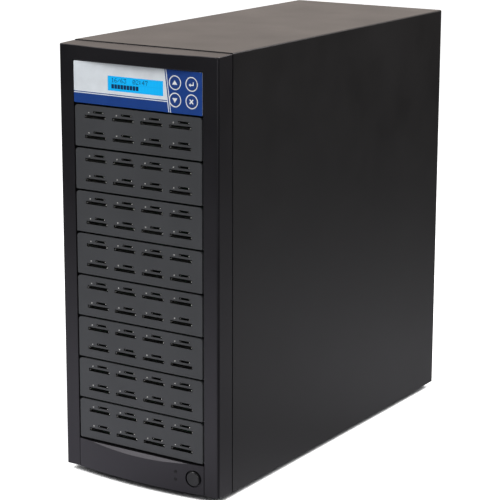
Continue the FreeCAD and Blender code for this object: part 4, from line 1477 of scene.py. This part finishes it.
@dataclass
class Studio:
    """Pale floor, soft lamps and the camera, in metres, with lens and sensor in millimetres."""

    camera_place: Place = (1.0158, -1.6019, 0.6608)
    camera_target: Place = (0.0988, -0.2197, 0.2758)
    lens: float = 133.81
    sensor: float = 36.0
    shift: Point = (0.0498, -0.0518)
    clip: Point = (0.01, 100.0)
    lamps: tuple[Lamp, ...] = (
        Lamp("key_lamp", (-1.4, -1.5, 2.0), (0.0, -0.2, 0.22), 1.5, 36.0),
        Lamp("fill_lamp", (1.3, -2.2, 1.0), (0.0, -0.2, 0.25), 1.2, 16.0),
        Lamp("rear_lamp", (0.9, 0.7, 1.6), (0.2, 0.2, 0.0), 1.0, 28.0),
    )
    floor_half: float = 30.0
    front_pool: FloorPool = FloorPool((-0.27, -0.34, 0.0), 0.25, 0.033, 0.69)
    side_pool: FloorPool = FloorPool((0.15, 0.25, 0.0), 0.1, 0.22, 0.36)
    # A wedge of painted shade dims the floor's pools beside the tower's right side, opening from its front corner.
    shade_wedge_from: Place = (0.0915, -0.2197, 0.0)
    shade_wedge_way: Place = (0.82, -0.57, 0.0)
    shade_wedge_range: Point = (0.35, 0.9)
    shade_wedge_level: float = 0.4
    shine: float = 0.9
    shine_color: Color = (0.97, 0.94, 1.1)
    fibres: float = 60.0
    paper: tuple[Color, Color] = ((0.79, 0.79, 0.79), (0.83, 0.83, 0.83))
    paper_glow: Color = (0.85, 0.85, 0.85)
    # Colour, reach and range of the painted contact shadow that ambient occlusion lays under the tower.
    shadow: Color = (0.07, 0.07, 0.075)
    contact: float = 0.1
    contact_range: Point = (0.22, 0.37)
    ambient: float = 0.3
    backdrop: Color = (0.95, 0.83, 0.75)
    backdrop_side: Place = (-0.53, 0.8, 0.28)
    backdrop_range: Point = (0.1, 0.9)
    gloom: Color = (0.125, 0.125, 0.13)

    def build(self) -> None:
        """Sets up floor, world, lamps, camera and view transform."""
        self.build_floor()
        self.build_world()
        self.build_lamps()
        self.build_camera()
        bpy.context.scene.view_settings.view_transform = "Standard"

    def stand(self, name: str, data: bpy.types.ID, place: Place, target: Place) -> bpy.types.Object:
        """Puts a lamp or camera in its place.

        Args:
            name: The object's name.
            data: The lamp or camera.
            place: Where it stands.
            target: What it points at.

        Returns:
            The object.
        """
        holder = bpy.data.objects.new(name, data)
        holder.location = place
        holder.rotation_euler = (Vector(target) - Vector(place)).to_track_quat("-Z", "Y").to_euler()
        bpy.context.scene.collection.objects.link(holder)
        return holder

    def seen(self, path: bpy.types.Node, wiring: Wiring) -> Socket:
        """Returns 1 where a ray comes straight from the camera or through glass."""
        return wiring.math("MAXIMUM", path.outputs["Is Camera Ray"], path.outputs["Is Transmission Ray"])

    def pool_light(self, wiring: Wiring, place: Socket) -> Socket:
        """Works out how light the floor looks to the tower.

        Args:
            wiring: The floor's wiring.
            place: The place on the floor.

        Returns:
            The two pools' brightness, lower in a wedge of painted shade that opens from the tower's front corner.
        """
        pools = [pool.light(wiring, place) for pool in (self.front_pool, self.side_pool)]
        # Painted shade: the pools are dimmed in a wedge that opens from the tower's front corner.
        outward = wiring.vector("SUBTRACT", place, self.shade_wedge_from)["Vector"]
        outward = wiring.vector("NORMALIZE", outward)["Vector"]
        facing = wiring.vector("DOT_PRODUCT", outward, self.shade_wedge_way)["Value"]
        wedge_shade = wiring.spread(facing, *self.shade_wedge_range, 1.0, self.shade_wedge_level)
        return wiring.math("MULTIPLY", wiring.math("MAXIMUM", *pools), wedge_shade)

    def build_floor(self) -> None:
        """Lays a floor that the camera sees white with a shadow, and the tower as pools of light."""
        bm = bmesh.new()
        bmesh.ops.create_grid(bm, x_segments=8, y_segments=8, size=self.floor_half)
        mesh = close_mesh(bm, "floor")
        material, wiring, shader = open_material("floor_paper")
        place = wiring.place()
        pool = self.pool_light(wiring, place)
        seen = self.seen(wiring.node("LightPath"), wiring)
        fibres = wiring.node("TexNoise", {"Vector": place, "Scale": self.fibres, "Detail": 4.0}).outputs[0]
        # Painted contact shadow: ambient occlusion darkens the floor's colour and its glow near and under the
        # tower.
        clear = wiring.node("AmbientOcclusion", {"Distance": self.contact}, samples=8).outputs["AO"]
        open_floor = wiring.spread(clear, *self.contact_range)
        paper = wiring.blend(open_floor, self.shadow, wiring.blend(fibres, *self.paper))
        shine = wiring.math("MULTIPLY", wiring.math("POWER", pool, 2.0), self.shine)
        glow = wiring.blend(open_floor, BLACK, self.paper_glow)
        wiring.feed(shader, {
            "Base Color": wiring.blend(seen, wiring.blend(pool, BLACK, WHITE), paper),
            "Emission Color": wiring.blend(seen, wiring.blend(shine, BLACK, self.shine_color), glow),
            "Emission Strength": 1.0,
            "Roughness": 0.9,
            "Specular IOR Level": 0.0,
        })
        mesh.materials.append(material)
        floor = bpy.data.objects.new("floor", mesh)
        bpy.context.scene.collection.objects.link(floor)

    def build_world(self) -> None:
        """Makes a world that looks white, mirrors as a warm backdrop in a dim room, and lights dimly."""
        world = bpy.data.worlds.new("studio")
        world.use_nodes = True
        world.node_tree.nodes.clear()
        wiring = Wiring(world.node_tree)
        path = wiring.node("LightPath")
        glossy = path.outputs["Is Glossy Ray"]
        shown = wiring.math("MAXIMUM", self.seen(path, wiring), glossy)
        ahead = wiring.node("TexCoord").outputs["Generated"]
        facing = wiring.vector("DOT_PRODUCT", ahead, self.backdrop_side)["Value"]
        mirrored = wiring.blend(wiring.spread(facing, *self.backdrop_range), self.gloom, self.backdrop)
        inputs = {
            "Color": wiring.blend(glossy, WHITE, mirrored),
            "Strength": wiring.spread(shown, 0.0, 1.0, self.ambient, 1.0),
        }
        wiring.node("OutputWorld", {"Surface": wiring.node("Background", inputs).outputs[0]})
        bpy.context.scene.world = world

    def build_lamps(self) -> None:
        """Hangs the soft lamps: a broad key ahead on the left, a fill ahead and one behind."""
        for lamp in self.lamps:
            data = bpy.data.lights.new(lamp.name, "AREA")
            data.shape = "SQUARE"
            data.size = lamp.size
            data.energy = lamp.power
            self.stand(lamp.name, data, lamp.place, lamp.target)

    def build_camera(self) -> None:
        """Stands the camera where the photograph was taken from."""
        data = bpy.data.cameras.new("camera")
        data.lens = self.lens
        data.sensor_width = self.sensor
        data.shift_x, data.shift_y = self.shift
        data.clip_start, data.clip_end = self.clip
        bpy.context.scene.camera = self.stand("camera", data, self.camera_place, self.camera_target)


def main() -> None:
    """Builds the tower's looks in order."""
    logging.basicConfig(level=logging.INFO, format="%(name)s: %(message)s")
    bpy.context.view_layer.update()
    palette = Palette(EffectLibrary().build())
    for group in (PlainNodes, Shell, CardModules, ControlFace, ChinControls, RearFittings, Fasteners):
        group(palette).build()
    Studio().build()
    bpy.context.view_layer.update()


if __name__ == "__main__":
    main()
